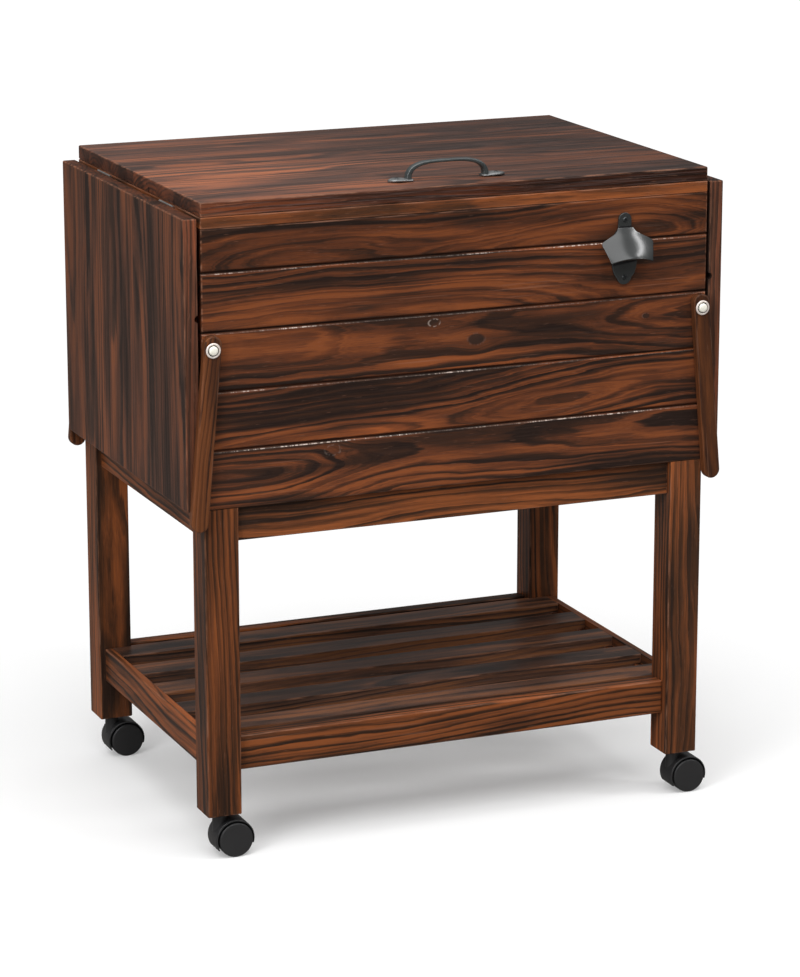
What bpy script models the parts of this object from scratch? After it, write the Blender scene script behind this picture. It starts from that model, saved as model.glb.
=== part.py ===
"""A rolling patio cooler: an insulated tub in a lidded timber box on casters, with two drop leaves.

The box faces -Y and its width runs along X. Lengths are metres, with +Z up and the floor at zero.
"""

import math

import bmesh
import bpy
from mathutils import Matrix, Vector

# Overall box and the stack of heights from the floor to the lid
BOX_WIDTH = 0.610
BOX_DEPTH = 0.422
CASTER_HEIGHT = 0.052
LEG_DROP = 0.355
WALL_HEIGHT = 0.312
FRAME_THICK = 0.013
LID_THICK = 0.016
GAP = 0.0003
OVERRUN = 0.004
WELD = 0.00001

# Timber
LEG_SIDE = 0.040
WALL_THICK = 0.015
TOP_BOARD = 0.048
WALL_BOARDS = 4
GROOVE_DEPTH = 0.0024
APRON_THICK = 0.018
APRON_HEIGHT = 0.039
APRON_SETBACK = 0.007
FLOOR_THICK = 0.012
PLANKS = 5
EASE = 0.0015
SMALL_EASE = 0.0008
SHELF_BOTTOM = 0.101
RAIL_HEIGHT = 0.040
RAIL_THICK = 0.018
END_RAIL_SETBACK = 0.010
SIDE_RAIL_SETBACK = 0.007
RAIL_LIP = 0.009
SLATS = 5
SLAT_WIDTH = 0.042
SLAT_THICK = 0.012
SLAT_EDGE_GAP = 0.007

# Tub, its insulation and its drain
FRAME_BORDER = 0.040
REBATE_WIDTH = 0.010
REBATE_DEPTH = 0.003
FOAM_THICK = 0.012
TUB_WALL = 0.003
TUB_TAPER = 0.003
TUB_CORNER = 0.020
TUB_FOOT_ROUND = 0.010
LINER_THICK = 0.018
LINER_CLEAR = 0.004
DRAIN_INSET = 0.063
DRAIN_RADIUS = 0.009
DRAIN_BORE = 0.006
DRAIN_DROP = 0.026
DRAIN_HOLE_CLEAR = 0.001
PLUG_HEAD_RADIUS = 0.012
PLUG_HEAD_THICK = 0.004
PLUG_SHANK = 0.014
PLUG_CLEAR = 0.0006

# Drop leaves with their hinges
LEAF_GAP = 0.004
LEAF_THICK = 0.016
LEAF_DROP = 0.3237
LEAF_TOP_CLEAR = 0.0008
LEAF_HINGE_DROP = 0.0018
LEAF_HINGE_INSET = 0.103
LEAF_HINGE_LENGTH = 0.045
LEAF_HINGE_HEIGHT = 0.020
LEAF_FLAP = 0.0012
LEAF_KNUCKLE = 0.0017
LEAF_PIN = 0.0009
PIN_CLEAR = 0.0003

# Hinges behind the lid
LID_HINGE_INSET = 0.115
LID_HINGE_LENGTH = 0.060
LID_HINGE_HEIGHT = 0.0140
LID_FLAP = 0.0015
LID_KNUCKLE = 0.0025
LID_PIN = 0.0013

# Swing arms, their pegs and pivot bolts
ARM_PIVOT_INSET = 0.009
ARM_PIVOT_DROP = 0.1422
ARM_WIDTH = 0.020
ARM_THICK = 0.010
ARM_REACH = 0.203
ARM_HEEL = 0.0157
ARM_GAP = 0.0005
ARM_TILT = math.radians(5.1)
PEG_REACH = 0.1874
PEG_RADIUS = 0.0035
PEG_LENGTH = 0.014
NOTCH_RADIUS = 0.0042
NOTCH_PLACE = 0.1088
BOLT_RADIUS = 0.003
BOLT_HEAD = 0.006
BOLT_DOME = 0.004
WASHER_RADIUS = 0.0085
WASHER_THICK = 0.0012
BOLT_GRIP = 0.038
BOLT_CLEAR = 0.0003

# Iron pull on the lid
PULL_SPAN = 0.141
PULL_SETBACK = 0.041
PULL_FOOT_LENGTH = 0.032
PULL_FOOT_WIDTH = 0.011
PULL_FOOT_THICK = 0.0026
PULL_RISE = 0.0228
PULL_THICK = 0.0044
PULL_WIDTH = 0.0078
PULL_HEEL = 0.0045
PULL_SCREW_INSET = 0.0105
PULL_SCREW_HOLE = 0.0019
PULL_EASE = 0.0009

# Bottle opener on the front wall
OPENER_INSET = 0.105
OPENER_DROP = 0.016
OPENER_HEIGHT = 0.082
OPENER_PLATE = 0.003
OPENER_TAB = 0.016
OPENER_WIDTH = 0.032
OPENER_FOOT = 0.018
OPENER_HOLE = 0.0022
OPENER_HOLE_INSET = 0.008
HOOD_REACH = 0.028
HOOD_WIDTH = 0.063
HOOD_START = 0.0165
HOOD_DROP = 0.037
HOOD_WALL = 0.0026
HOOD_LIP_WIDTH = 0.018
HOOD_LIP_REACH = 0.006
HOOD_LIP_THICK = 0.003

# Casters
WHEEL_RADIUS = 0.020
WHEEL_SPREAD = 0.031
WHEEL_THICK = 0.011
WHEEL_RIM = 0.0020
WHEEL_DISH = 0.0008
CASTER_TRAIL = 0.015
CASTER_WIDTH = 0.030
CASTER_WALL = 0.0015
CASTER_WELL_CLEAR = 0.001
CASTER_NECK = 0.025
CASTER_LIFT = 0.0066
CASTER_WEB = 0.007
CASTER_EASE = 0.0008
AXLE_RADIUS = 0.003
AXLE_CLEAR = 0.0005
STEM_RADIUS = 0.004
STEM_LENGTH = 0.036
STEM_CLEAR = 0.0004

# Smoothness of the round forms
ROD_SIDES = 16
KNUCKLE_SIDES = 10
WHEEL_SIDES = 24
ROUND_STEPS = 8
ARCH_STEPS = 20
HOOD_COLUMNS = 14
HOOD_ROWS = 8
CORNER_STEPS = 4
SMOOTH_ANGLE = math.radians(35)

# Shares of an outline's own length and width, from the tip of the foot inward
FOOT_SHARES = ((0.0, 0.10), (0.06, 0.30), (0.16, 0.62), (0.30, 0.90), (0.42, 1.0), (0.56, 0.96),
               (0.70, 0.82), (0.84, 0.78), (0.94, 0.74), (1.0, 0.50))
# Shares of the plate's height and of its full width, under the round tab
PLATE_SHARES = ((0.22, 0.52), (0.30, 0.80), (0.40, 0.98), (0.52, 1.0), (0.64, 1.0), (0.76, 0.93), (0.85, 0.80))
# Along the hood: shares of its drop, half width, reach at the middle and reach at its edges
HOOD_SHARES = ((0.0, 0.30, 0.17, 0.16), (0.14, 0.42, 0.34, 0.24), (0.28, 0.74, 0.52, 0.36),
               (0.42, 1.0, 0.66, 0.44), (0.60, 0.96, 0.79, 0.56), (0.80, 0.89, 0.91, 0.70), (1.0, 0.82, 1.0, 0.84))
HOOD_ARCH_SHARE = 0.10
PULL_ARCH_POWERS = (3.5, 2.5)

# Places that follow from the sizes above
HALF_WIDTH = BOX_WIDTH / 2
HALF_DEPTH = BOX_DEPTH / 2
SHOULDER = CASTER_HEIGHT + LEG_DROP
FRAME_BOTTOM = SHOULDER + WALL_HEIGHT
LID_BOTTOM = FRAME_BOTTOM + FRAME_THICK
LID_TOP = LID_BOTTOM + LID_THICK
FRAME_TOP = LID_BOTTOM - GAP
WALL_TOP = FRAME_BOTTOM - GAP
INNER_X = HALF_WIDTH - LEG_SIDE
INNER_Y = HALF_DEPTH - LEG_SIDE
APRON_BOTTOM = SHOULDER - APRON_HEIGHT
FLOOR_BOTTOM = SHOULDER + GAP
FLOOR_TOP = FLOOR_BOTTOM + FLOOR_THICK
SHELF_TOP = SHELF_BOTTOM + RAIL_HEIGHT
SLAT_SPREAD = HALF_DEPTH - END_RAIL_SETBACK - RAIL_THICK - SLAT_EDGE_GAP - SLAT_WIDTH / 2
SLAT_PITCH = 2 * SLAT_SPREAD / (SLATS - 1)
BOARD_PITCH = (WALL_HEIGHT - TOP_BOARD) / WALL_BOARDS
PLANK_PITCH = BOX_DEPTH / PLANKS
FRAME_HOLE_X = HALF_WIDTH - FRAME_BORDER
FRAME_HOLE_Y = HALF_DEPTH - FRAME_BORDER
FOAM_BOTTOM = FLOOR_TOP + GAP
FOAM_TOP = FRAME_TOP - REBATE_DEPTH
TUB_X = FRAME_HOLE_X - GAP - FOAM_THICK - GAP
TUB_Y = FRAME_HOLE_Y - GAP - FOAM_THICK - GAP
TUB_BOTTOM = FOAM_BOTTOM + FOAM_THICK + GAP
DRAIN_X = TUB_X - DRAIN_INSET
DRAIN_Y = TUB_Y - DRAIN_INSET
DRAIN_END = FLOOR_BOTTOM - DRAIN_DROP
HINGE_X = HALF_WIDTH + LEAF_GAP / 2
LEAF_HINGE_SPREAD = HALF_DEPTH - LEAF_HINGE_INSET
LID_HINGE_SPREAD = HALF_WIDTH - LID_HINGE_INSET
HINGE_Z = LID_BOTTOM - LEAF_HINGE_DROP
LEAF_TOP = LID_BOTTOM - LEAF_TOP_CLEAR
LEAF_INNER = HALF_WIDTH + LEAF_GAP
LID_HINGE_Y = HALF_DEPTH + GAP + LID_KNUCKLE
PIVOT_X = HALF_WIDTH - ARM_PIVOT_INSET
PIVOT_Z = HINGE_Z - ARM_PIVOT_DROP
ARM_INNER = HALF_DEPTH + ARM_GAP
BOLT_SEAT = ARM_INNER + ARM_THICK + GAP
BOLT_REACH = BOLT_SEAT + WASHER_THICK + BOLT_DOME
LEG_X = HALF_WIDTH - LEG_SIDE / 2
LEG_Y = HALF_DEPTH - LEG_SIDE / 2
PULL_Y = PULL_SETBACK - HALF_DEPTH
OPENER_TOP = FRAME_BOTTOM - OPENER_DROP
OPENER_X = HALF_WIDTH - OPENER_INSET
CASTER_RADIUS = WHEEL_RADIUS + CASTER_WELL_CLEAR + CASTER_WALL

# The origin lies under the middle of the whole object, whose front and back reach out unequally
MIDDLE_SHIFT = (max(HALF_DEPTH + HOOD_REACH, BOLT_REACH) - BOLT_REACH) / 2

# Each finish is a colour, a roughness and a metallic value
WOOD = ((0.13, 0.055, 0.030), 0.42, 0.0)
WOOD_DARK = ((0.075, 0.040, 0.028), 0.50, 0.0)
WOOD_PALE = ((0.20, 0.12, 0.095), 0.50, 0.0)
PINE = ((0.42, 0.28, 0.16), 0.65, 0.0)
FOAM = ((0.85, 0.84, 0.78), 0.90, 0.0)
PLASTIC = ((0.86, 0.87, 0.88), 0.35, 0.0)
STEEL = ((0.62, 0.62, 0.60), 0.30, 1.0)
IRON = ((0.10, 0.11, 0.11), 0.45, 1.0)
GUNMETAL = ((0.09, 0.09, 0.09), 0.28, 1.0)
BOLT = ((0.80, 0.78, 0.72), 0.30, 1.0)
BLACK = ((0.022, 0.022, 0.022), 0.40, 0.0)


def start_collections():
    """Empty the scene and make the collections for the parts and for the cutters."""
    for leftover in list(bpy.data.objects):
        bpy.data.objects.remove(leftover)
    parts = bpy.data.collections.new("rolling_patio_cooler")
    cutters = bpy.data.collections.new("rolling_patio_cooler_cutters")
    bpy.context.scene.collection.children.link(parts)
    bpy.context.scene.collection.children.link(cutters)
    return parts, cutters


PARTS, CUTTERS = start_collections()


def make_axis(name, place, parent=None):
    """Add an empty that carries what turns about it."""
    empty = bpy.data.objects.new(name, None)
    empty.empty_display_size = LEG_SIDE
    PARTS.objects.link(empty)
    empty.parent = parent
    empty.location = place
    return empty


BODY = make_axis("cooler_body", (0, MIDDLE_SHIFT, 0))


def as_object(name, shape, place=(0, 0, 0)):
    """Turn a bmesh into an object, which stays among the cutters until it is finished."""
    bmesh.ops.recalc_face_normals(shape, faces=shape.faces)
    mesh = bpy.data.meshes.new(name)
    shape.to_mesh(mesh)
    shape.free()
    obj = bpy.data.objects.new(name, mesh)
    obj.location = place
    CUTTERS.objects.link(obj)
    return obj


def solid_mesh(obj):
    """Give the evaluated mesh of an object, welded."""
    bpy.context.view_layer.update()
    mesh = bpy.data.meshes.new_from_object(obj.evaluated_get(bpy.context.evaluated_depsgraph_get()))
    shape = bmesh.new()
    shape.from_mesh(mesh)
    bmesh.ops.remove_doubles(shape, verts=shape.verts, dist=WELD)
    bpy.data.meshes.remove(mesh)
    return shape


def ease_edges(shape, width, steps, keep=None):
    """Round the edges that turn sharply, or only those that keep accepts."""
    edges = [edge for edge in shape.edges
             if len(edge.link_faces) == 2 and edge.calc_face_angle(0) > math.radians(50)]
    if keep:
        edges = [edge for edge in edges if keep(edge)]
    bmesh.ops.bevel(shape, geom=edges, offset=width, segments=steps, profile=0.5, affect="EDGES",
                    clamp_overlap=True)


def block(name, low, high, ease=0.0, steps=1):
    """Make a box between two corners, with its edges eased when asked."""
    low, high = Vector(low), Vector(high)
    shape = bmesh.new()
    bmesh.ops.create_cube(shape, size=1)
    bmesh.ops.scale(shape, vec=high - low, verts=shape.verts)
    if ease:
        ease_edges(shape, ease, steps)
    return as_object(name, shape, (low + high) / 2)


def turn_to(axis):
    """Give the rotation that takes +Z to the named axis."""
    turns = {"X": Matrix.Rotation(math.pi / 2, 4, "Y"), "Y": Matrix.Rotation(-math.pi / 2, 4, "X"),
             "Z": Matrix()}
    return turns[axis]


def rod(name, place, radius, length, axis, sides=ROD_SIDES):
    """Make a cylinder, with a flat of it facing each way across its axis."""
    shape = bmesh.new()
    bmesh.ops.create_cone(shape, cap_ends=True, segments=sides, radius1=radius, radius2=radius, depth=length)
    bmesh.ops.rotate(shape, verts=shape.verts, matrix=Matrix.Rotation(math.pi / sides, 3, "Z"))
    bmesh.ops.transform(shape, matrix=turn_to(axis), verts=shape.verts)
    return as_object(name, shape, place)


def plate(name, outline, thickness, place, facing, ease=0.0, steps=1):
    """Fill an outline and give it a thickness; it stands up, except when it faces Z."""
    curve = bpy.data.curves.new(name, "CURVE")
    curve.dimensions = "2D"
    curve.fill_mode = "BOTH"
    curve.extrude = thickness / 2
    spline = curve.splines.new("POLY")
    spline.points.add(len(outline) - 1)
    for dot, (across, along) in zip(spline.points, outline):
        dot.co = (across, along, 0, 1)
    spline.use_cyclic_u = True
    guide = bpy.data.objects.new(name, curve)
    CUTTERS.objects.link(guide)
    shape = solid_mesh(guide)
    bpy.data.objects.remove(guide)
    upright = {"X": Matrix(((0, 0, 1, 0), (1, 0, 0, 0), (0, 1, 0, 0), (0, 0, 0, 1))),
               "Y": Matrix.Rotation(math.pi / 2, 4, "X"), "Z": Matrix()}
    bmesh.ops.transform(shape, matrix=upright[facing], verts=shape.verts)
    bmesh.ops.dissolve_limit(shape, angle_limit=math.radians(1), verts=shape.verts, edges=shape.edges)
    if ease:
        ease_edges(shape, ease, steps)
    return as_object(name, shape, place)


def turned(name, profile, place, axis, sides):
    """Turn a profile of radii and heights, listed from top to bottom, about an axis."""
    mesh = bpy.data.meshes.new(name)
    mesh.from_pydata([(radius, 0, height) for radius, height in profile],
                     [(step, step + 1) for step in range(len(profile) - 1)], [])
    guide = bpy.data.objects.new(name, mesh)
    CUTTERS.objects.link(guide)
    screw = guide.modifiers.new("turn", "SCREW")
    screw.steps = screw.render_steps = sides
    screw.use_merge_vertices = True
    screw.merge_threshold = WELD
    shape = solid_mesh(guide)
    bpy.data.objects.remove(guide)
    bmesh.ops.rotate(shape, verts=shape.verts, matrix=Matrix.Rotation(math.pi / sides, 3, "Z"))
    bmesh.ops.transform(shape, matrix=turn_to(axis), verts=shape.verts)
    return as_object(name, shape, place)


def cut(obj, *tools, operation="DIFFERENCE"):
    """Cut an object with tools that stay beside it."""
    for tool in tools:
        change = obj.modifiers.new(tool.name, "BOOLEAN")
        change.operation = operation
        change.solver = "EXACT"
        change.object = tool
        tool.hide_render = True
        tool.display_type = "WIRE"
    return obj


def fuse(obj, *tools, operation="UNION"):
    """Join or cut a small object with tools that are used up."""
    cut(obj, *tools, operation=operation)
    shape = solid_mesh(obj)
    obj.modifiers.clear()
    shape.to_mesh(obj.data)
    shape.free()
    for tool in tools:
        bpy.data.objects.remove(tool)
    return obj


def repeat(tool, count, step):
    """Repeat a cutter in a row."""
    row = tool.modifiers.new("row", "ARRAY")
    row.count = count
    row.use_relative_offset = False
    row.use_constant_offset = True
    row.constant_offset_displace = step
    return tool


def finish(obj, name, look, axis=BODY, smooth=False):
    """Name a piece, give it its own material and hang it, with its tools, on what carries it."""
    obj.name = obj.data.name = name
    tools = [change.object for change in obj.modifiers if change.type == "BOOLEAN"]
    for item in [obj] + tools:
        if item.parent is None:
            item.parent = axis
            if axis is not BODY:
                item.location -= axis.location
    CUTTERS.objects.unlink(obj)
    PARTS.objects.link(obj)
    colour, roughness, metallic = look
    material = bpy.data.materials.new(name)
    material.use_nodes = True
    shader = material.node_tree.nodes["Principled BSDF"]
    shader.inputs["Base Color"].default_value = (*colour, 1)
    shader.inputs["Roughness"].default_value = roughness
    shader.inputs["Metallic"].default_value = metallic
    material.diffuse_color = (*colour, 1)
    obj.data.materials.clear()
    obj.data.materials.append(material)
    if smooth:
        obj.data.shade_smooth()
        obj.data.set_sharp_from_angle(angle=SMOOTH_ANGLE)
    return obj


def side_name(x_side):
    """Name a side of the cooler."""
    return "left" if x_side < 0 else "right"


def end_name(y_side):
    """Name the front or the rear."""
    return "front" if y_side < 0 else "rear"


def span(first, second):
    """Put two places in rising order."""
    return min(first, second), max(first, second)


def groove(name, place, length, axis):
    """Make the cutter for a V joint: a square bar on its edge, centred on the face that it cuts."""
    side = GROOVE_DEPTH * math.sqrt(2)
    shape = bmesh.new()
    bmesh.ops.create_cube(shape, size=1)
    bmesh.ops.scale(shape, vec=(side, side, length), verts=shape.verts)
    bmesh.ops.rotate(shape, verts=shape.verts, matrix=Matrix.Rotation(math.pi / 4, 3, "Z"))
    bmesh.ops.transform(shape, matrix=turn_to(axis), verts=shape.verts)
    return as_object(name, shape, place)


# The timber frame
def add_legs():
    """Add the legs: square below the shoulder, rebated above it for the walls, bored for the casters."""
    rebate = WALL_THICK + GAP
    for x_side in (-1, 1):
        for y_side in (-1, 1):
            tag = f"{end_name(y_side)}_{side_name(x_side)}"
            x_low, x_high = span(x_side * INNER_X, x_side * HALF_WIDTH)
            y_low, y_high = span(y_side * INNER_Y, y_side * HALF_DEPTH)
            leg = block("leg", (x_low, y_low, CASTER_HEIGHT), (x_high, y_high, WALL_TOP), EASE, 2)
            x_cut = span(x_side * (HALF_WIDTH - rebate), x_side * (HALF_WIDTH + OVERRUN))
            y_cut = span(y_side * (HALF_DEPTH - rebate), y_side * (HALF_DEPTH + OVERRUN))
            side_cut = block(f"leg_{tag}_side_rebate", (x_cut[0], y_low - OVERRUN, SHOULDER),
                             (x_cut[1], y_high + OVERRUN, WALL_TOP + OVERRUN))
            end_cut = block(f"leg_{tag}_end_rebate", (x_low - OVERRUN, y_cut[0], SHOULDER),
                            (x_high + OVERRUN, y_cut[1], WALL_TOP + OVERRUN))
            bore_length = STEM_LENGTH + OVERRUN
            bore = rod(f"leg_{tag}_bore", (x_side * LEG_X, y_side * LEG_Y, CASTER_HEIGHT + bore_length / 2 - GAP),
                       STEM_RADIUS + STEM_CLEAR, bore_length, "Z")
            cut(leg, side_cut, end_cut, bore)
            finish(leg, f"leg_{tag}", WOOD)


def add_aprons():
    """Add the aprons under the box, set back from the faces of the legs."""
    for side in (-1, 1):
        y_low, y_high = span(side * (HALF_DEPTH - APRON_SETBACK), side * (HALF_DEPTH - APRON_SETBACK - APRON_THICK))
        long_one = block("apron", (GAP - INNER_X, y_low, APRON_BOTTOM), (INNER_X - GAP, y_high, SHOULDER), SMALL_EASE)
        finish(long_one, f"apron_{end_name(side)}", WOOD_DARK)
        x_low, x_high = span(side * (HALF_WIDTH - APRON_SETBACK), side * (HALF_WIDTH - APRON_SETBACK - APRON_THICK))
        short_one = block("apron", (x_low, GAP - INNER_Y, APRON_BOTTOM), (x_high, INNER_Y - GAP, SHOULDER), SMALL_EASE)
        finish(short_one, f"apron_{side_name(side)}", WOOD_DARK)


def bolt_hole(x_side, y_side):
    """Make the cutter for a pivot bolt's hole, through the wall and into the board behind it."""
    length = BOLT_GRIP - ARM_THICK + OVERRUN
    middle = y_side * (BOLT_SEAT - BOLT_GRIP - GAP + length / 2)
    return rod(f"bolt_hole_{end_name(y_side)}_{side_name(x_side)}", (x_side * PIVOT_X, middle, PIVOT_Z),
               BOLT_RADIUS + BOLT_CLEAR, length, "Y")


def add_walls():
    """Add the four walls: glued boards with V joints, the long walls lapping the side walls."""
    bottom = SHOULDER + GAP
    seam = FRAME_BOTTOM - TOP_BOARD
    holes = {(x_side, y_side): bolt_hole(x_side, y_side) for x_side in (-1, 1) for y_side in (-1, 1)}
    for side in (-1, 1):
        y_low, y_high = span(side * (HALF_DEPTH - WALL_THICK), side * HALF_DEPTH)
        wall = block("wall", (-HALF_WIDTH, y_low, bottom), (HALF_WIDTH, y_high, WALL_TOP), SMALL_EASE)
        seams = groove(f"{end_name(side)}_seams", (0, side * HALF_DEPTH, seam), BOX_WIDTH + OVERRUN, "X")
        repeat(seams, WALL_BOARDS, (0, 0, -BOARD_PITCH))
        cut(wall, seams, holes[-1, side], holes[1, side])
        finish(wall, f"wall_{end_name(side)}", WOOD)
        depth = HALF_DEPTH - WALL_THICK - GAP
        x_low, x_high = span(side * (HALF_WIDTH - WALL_THICK), side * HALF_WIDTH)
        wall = block("wall", (x_low, -depth, bottom), (x_high, depth, WALL_TOP), SMALL_EASE)
        seams = groove(f"{side_name(side)}_seams", (side * HALF_WIDTH, 0, seam), 2 * depth + OVERRUN, "Y")
        repeat(seams, WALL_BOARDS, (0, 0, -BOARD_PITCH))
        cut(wall, seams, holes[side, -1], holes[side, 1])
        finish(wall, f"wall_{side_name(side)}", WOOD)


def add_top_frame():
    """Add the frame that closes the walls' top and carries the tub by its rim."""
    frame = block("frame", (-HALF_WIDTH, -HALF_DEPTH, FRAME_BOTTOM), (HALF_WIDTH, HALF_DEPTH, FRAME_TOP), SMALL_EASE)
    hole = block("top_frame_hole", (-FRAME_HOLE_X, -FRAME_HOLE_Y, FRAME_BOTTOM - OVERRUN),
                 (FRAME_HOLE_X, FRAME_HOLE_Y, FRAME_TOP + OVERRUN))
    rim_x, rim_y = FRAME_HOLE_X + REBATE_WIDTH, FRAME_HOLE_Y + REBATE_WIDTH
    rebate = block("top_frame_rebate", (-rim_x, -rim_y, FRAME_TOP - REBATE_DEPTH), (rim_x, rim_y, FRAME_TOP + OVERRUN))
    cut(frame, hole, rebate)
    finish(frame, "top_frame", WOOD_DARK)


def add_bottom_board():
    """Add the board that the insulation stands on, notched for the legs and bored for the drain."""
    reach_x = HALF_WIDTH - WALL_THICK - GAP
    reach_y = HALF_DEPTH - WALL_THICK - GAP
    board = block("board", (-reach_x, -reach_y, FLOOR_BOTTOM), (reach_x, reach_y, FLOOR_TOP))
    corners = []
    for x_side in (-1, 1):
        for y_side in (-1, 1):
            x_low, x_high = span(x_side * (INNER_X - GAP), x_side * (reach_x + OVERRUN))
            y_low, y_high = span(y_side * (INNER_Y - GAP), y_side * (reach_y + OVERRUN))
            corners.append(block(f"bottom_corner_{end_name(y_side)}_{side_name(x_side)}",
                                 (x_low, y_low, FLOOR_BOTTOM - OVERRUN), (x_high, y_high, FLOOR_TOP + OVERRUN)))
    drain = rod("bottom_board_drain", (DRAIN_X, DRAIN_Y, FLOOR_BOTTOM + FLOOR_THICK / 2),
                DRAIN_RADIUS + DRAIN_HOLE_CLEAR, FLOOR_THICK + OVERRUN, "Z")
    cut(board, *corners, drain)
    finish(board, "bottom_board", PINE)


# The tub inside the box
def tub_form(name, half_x, half_y, bottom, top, corner):
    """Make a solid with round upright corners that narrows towards its rounded foot."""
    shape = bmesh.new()
    bmesh.ops.create_cube(shape, size=1)
    bmesh.ops.scale(shape, vec=(2 * half_x, 2 * half_y, top - bottom), verts=shape.verts)
    for vert in shape.verts:
        if vert.co.z < 0:
            vert.co.x -= math.copysign(TUB_TAPER, vert.co.x)
            vert.co.y -= math.copysign(TUB_TAPER, vert.co.y)
    uprights = [edge for edge in shape.edges if edge.verts[0].co.z * edge.verts[1].co.z < 0]
    bmesh.ops.bevel(shape, geom=uprights, offset=corner, segments=CORNER_STEPS, profile=0.5, affect="EDGES")
    base = [edge for edge in shape.edges if edge.verts[0].co.z < 0 and edge.verts[1].co.z < 0]
    bmesh.ops.bevel(shape, geom=base, offset=TUB_FOOT_ROUND, segments=CORNER_STEPS - 1, profile=0.5, affect="EDGES")
    return as_object(name, shape, (0, 0, (bottom + top) / 2))


def add_insulation():
    """Add the foam shell between the box and the tub."""
    half_x, half_y = FRAME_HOLE_X - GAP, FRAME_HOLE_Y - GAP
    foam = block("foam", (-half_x, -half_y, FOAM_BOTTOM), (half_x, half_y, FOAM_TOP))
    room = tub_form("insulation_room", TUB_X + GAP, TUB_Y + GAP, TUB_BOTTOM - GAP, FOAM_TOP + OVERRUN,
                    TUB_CORNER + GAP)
    drain = rod("insulation_drain", (DRAIN_X, DRAIN_Y, FOAM_BOTTOM + FOAM_THICK / 2), DRAIN_RADIUS + DRAIN_HOLE_CLEAR,
                FOAM_THICK + 2 * OVERRUN, "Z")
    cut(foam, room, drain)
    finish(foam, "insulation", FOAM)


def add_tub():
    """Add the tub liner, which hangs by its rim flange, and its drain spout with the plug."""
    rim_x = FRAME_HOLE_X + REBATE_WIDTH - GAP
    rim_y = FRAME_HOLE_Y + REBATE_WIDTH - GAP
    flange_bottom = FOAM_TOP + GAP
    tub = tub_form("tub", TUB_X, TUB_Y, TUB_BOTTOM, (flange_bottom + FRAME_TOP) / 2, TUB_CORNER)
    flange = block("flange", (-rim_x, -rim_y, flange_bottom), (rim_x, rim_y, FRAME_TOP))
    spout_top = TUB_BOTTOM + TUB_WALL / 2
    spout = rod("spout", (DRAIN_X, DRAIN_Y, (DRAIN_END + spout_top) / 2), DRAIN_RADIUS, spout_top - DRAIN_END, "Z")
    room = tub_form("room", TUB_X - TUB_WALL, TUB_Y - TUB_WALL, TUB_BOTTOM + TUB_WALL, FRAME_TOP + OVERRUN,
                    TUB_CORNER - TUB_WALL)
    bore_top = TUB_BOTTOM + TUB_WALL + OVERRUN
    bore_bottom = DRAIN_END - OVERRUN
    bore = rod("bore", (DRAIN_X, DRAIN_Y, (bore_bottom + bore_top) / 2), DRAIN_BORE, bore_top - bore_bottom, "Z")
    fuse(tub, flange, spout)
    fuse(tub, room, bore, operation="DIFFERENCE")
    finish(tub, "tub_liner", PLASTIC, smooth=True)
    shank = DRAIN_BORE - PLUG_CLEAR
    lead = PLUG_SHANK - PLUG_CLEAR
    plug = turned("plug", ((0, PLUG_SHANK), (shank - PLUG_CLEAR, PLUG_SHANK), (shank, lead), (shank, 0),
                           (PLUG_HEAD_RADIUS, 0), (PLUG_HEAD_RADIUS, -PLUG_HEAD_THICK), (0, -PLUG_HEAD_THICK)),
                  (DRAIN_X, DRAIN_Y, DRAIN_END - GAP), "Z", ROD_SIDES)
    finish(plug, "drain_plug", BLACK, smooth=True)


# The shelf near the floor
def add_shelf():
    """Add the shelf: four rails, the side ones rebated, and the slats that they carry."""
    seat = SHELF_TOP - SLAT_THICK - GAP
    for side in (-1, 1):
        y_outer = HALF_DEPTH - END_RAIL_SETBACK
        y_low, y_high = span(side * y_outer, side * (y_outer - RAIL_THICK))
        rail = block("rail", (GAP - INNER_X, y_low, SHELF_BOTTOM), (INNER_X - GAP, y_high, SHELF_TOP), EASE)
        finish(rail, f"shelf_rail_{end_name(side)}", WOOD)
        x_outer = HALF_WIDTH - SIDE_RAIL_SETBACK
        x_low, x_high = span(side * x_outer, side * (x_outer - RAIL_THICK))
        rail = block("rail", (x_low, GAP - INNER_Y, SHELF_BOTTOM), (x_high, INNER_Y - GAP, SHELF_TOP), SMALL_EASE)
        x_cut = span(side * (x_outer - RAIL_LIP), side * (x_outer - RAIL_THICK - OVERRUN))
        rebate = block(f"{side_name(side)}_rail_rebate", (x_cut[0], -HALF_DEPTH, seat),
                       (x_cut[1], HALF_DEPTH, SHELF_TOP + OVERRUN))
        cut(rail, rebate)
        finish(rail, f"shelf_rail_{side_name(side)}", WOOD)
    reach = HALF_WIDTH - SIDE_RAIL_SETBACK - RAIL_LIP - GAP
    for index in range(SLATS):
        middle = (index - (SLATS - 1) / 2) * SLAT_PITCH
        slat = block("slat", (-reach, middle - SLAT_WIDTH / 2, seat + GAP), (reach, middle + SLAT_WIDTH / 2, SHELF_TOP),
                     SMALL_EASE)
        if abs(middle) + SLAT_WIDTH / 2 > INNER_Y - GAP:
            notch_slat(slat, index, middle, reach, seat)
        finish(slat, f"shelf_slat_{index + 1}", WOOD_PALE)


def notch_slat(slat, index, middle, reach, seat):
    """Notch the corners of an outer slat round the two legs beside it."""
    y_side = math.copysign(1, middle)
    y_low, y_high = span(y_side * (INNER_Y - GAP), y_side * HALF_DEPTH)
    for x_side in (-1, 1):
        x_low, x_high = span(x_side * (INNER_X - GAP), x_side * (reach + OVERRUN))
        cut(slat, block(f"slat_{index + 1}_notch_{side_name(x_side)}", (x_low, y_low, seat - OVERRUN),
                        (x_high, y_high, SHELF_TOP + OVERRUN)))


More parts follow.
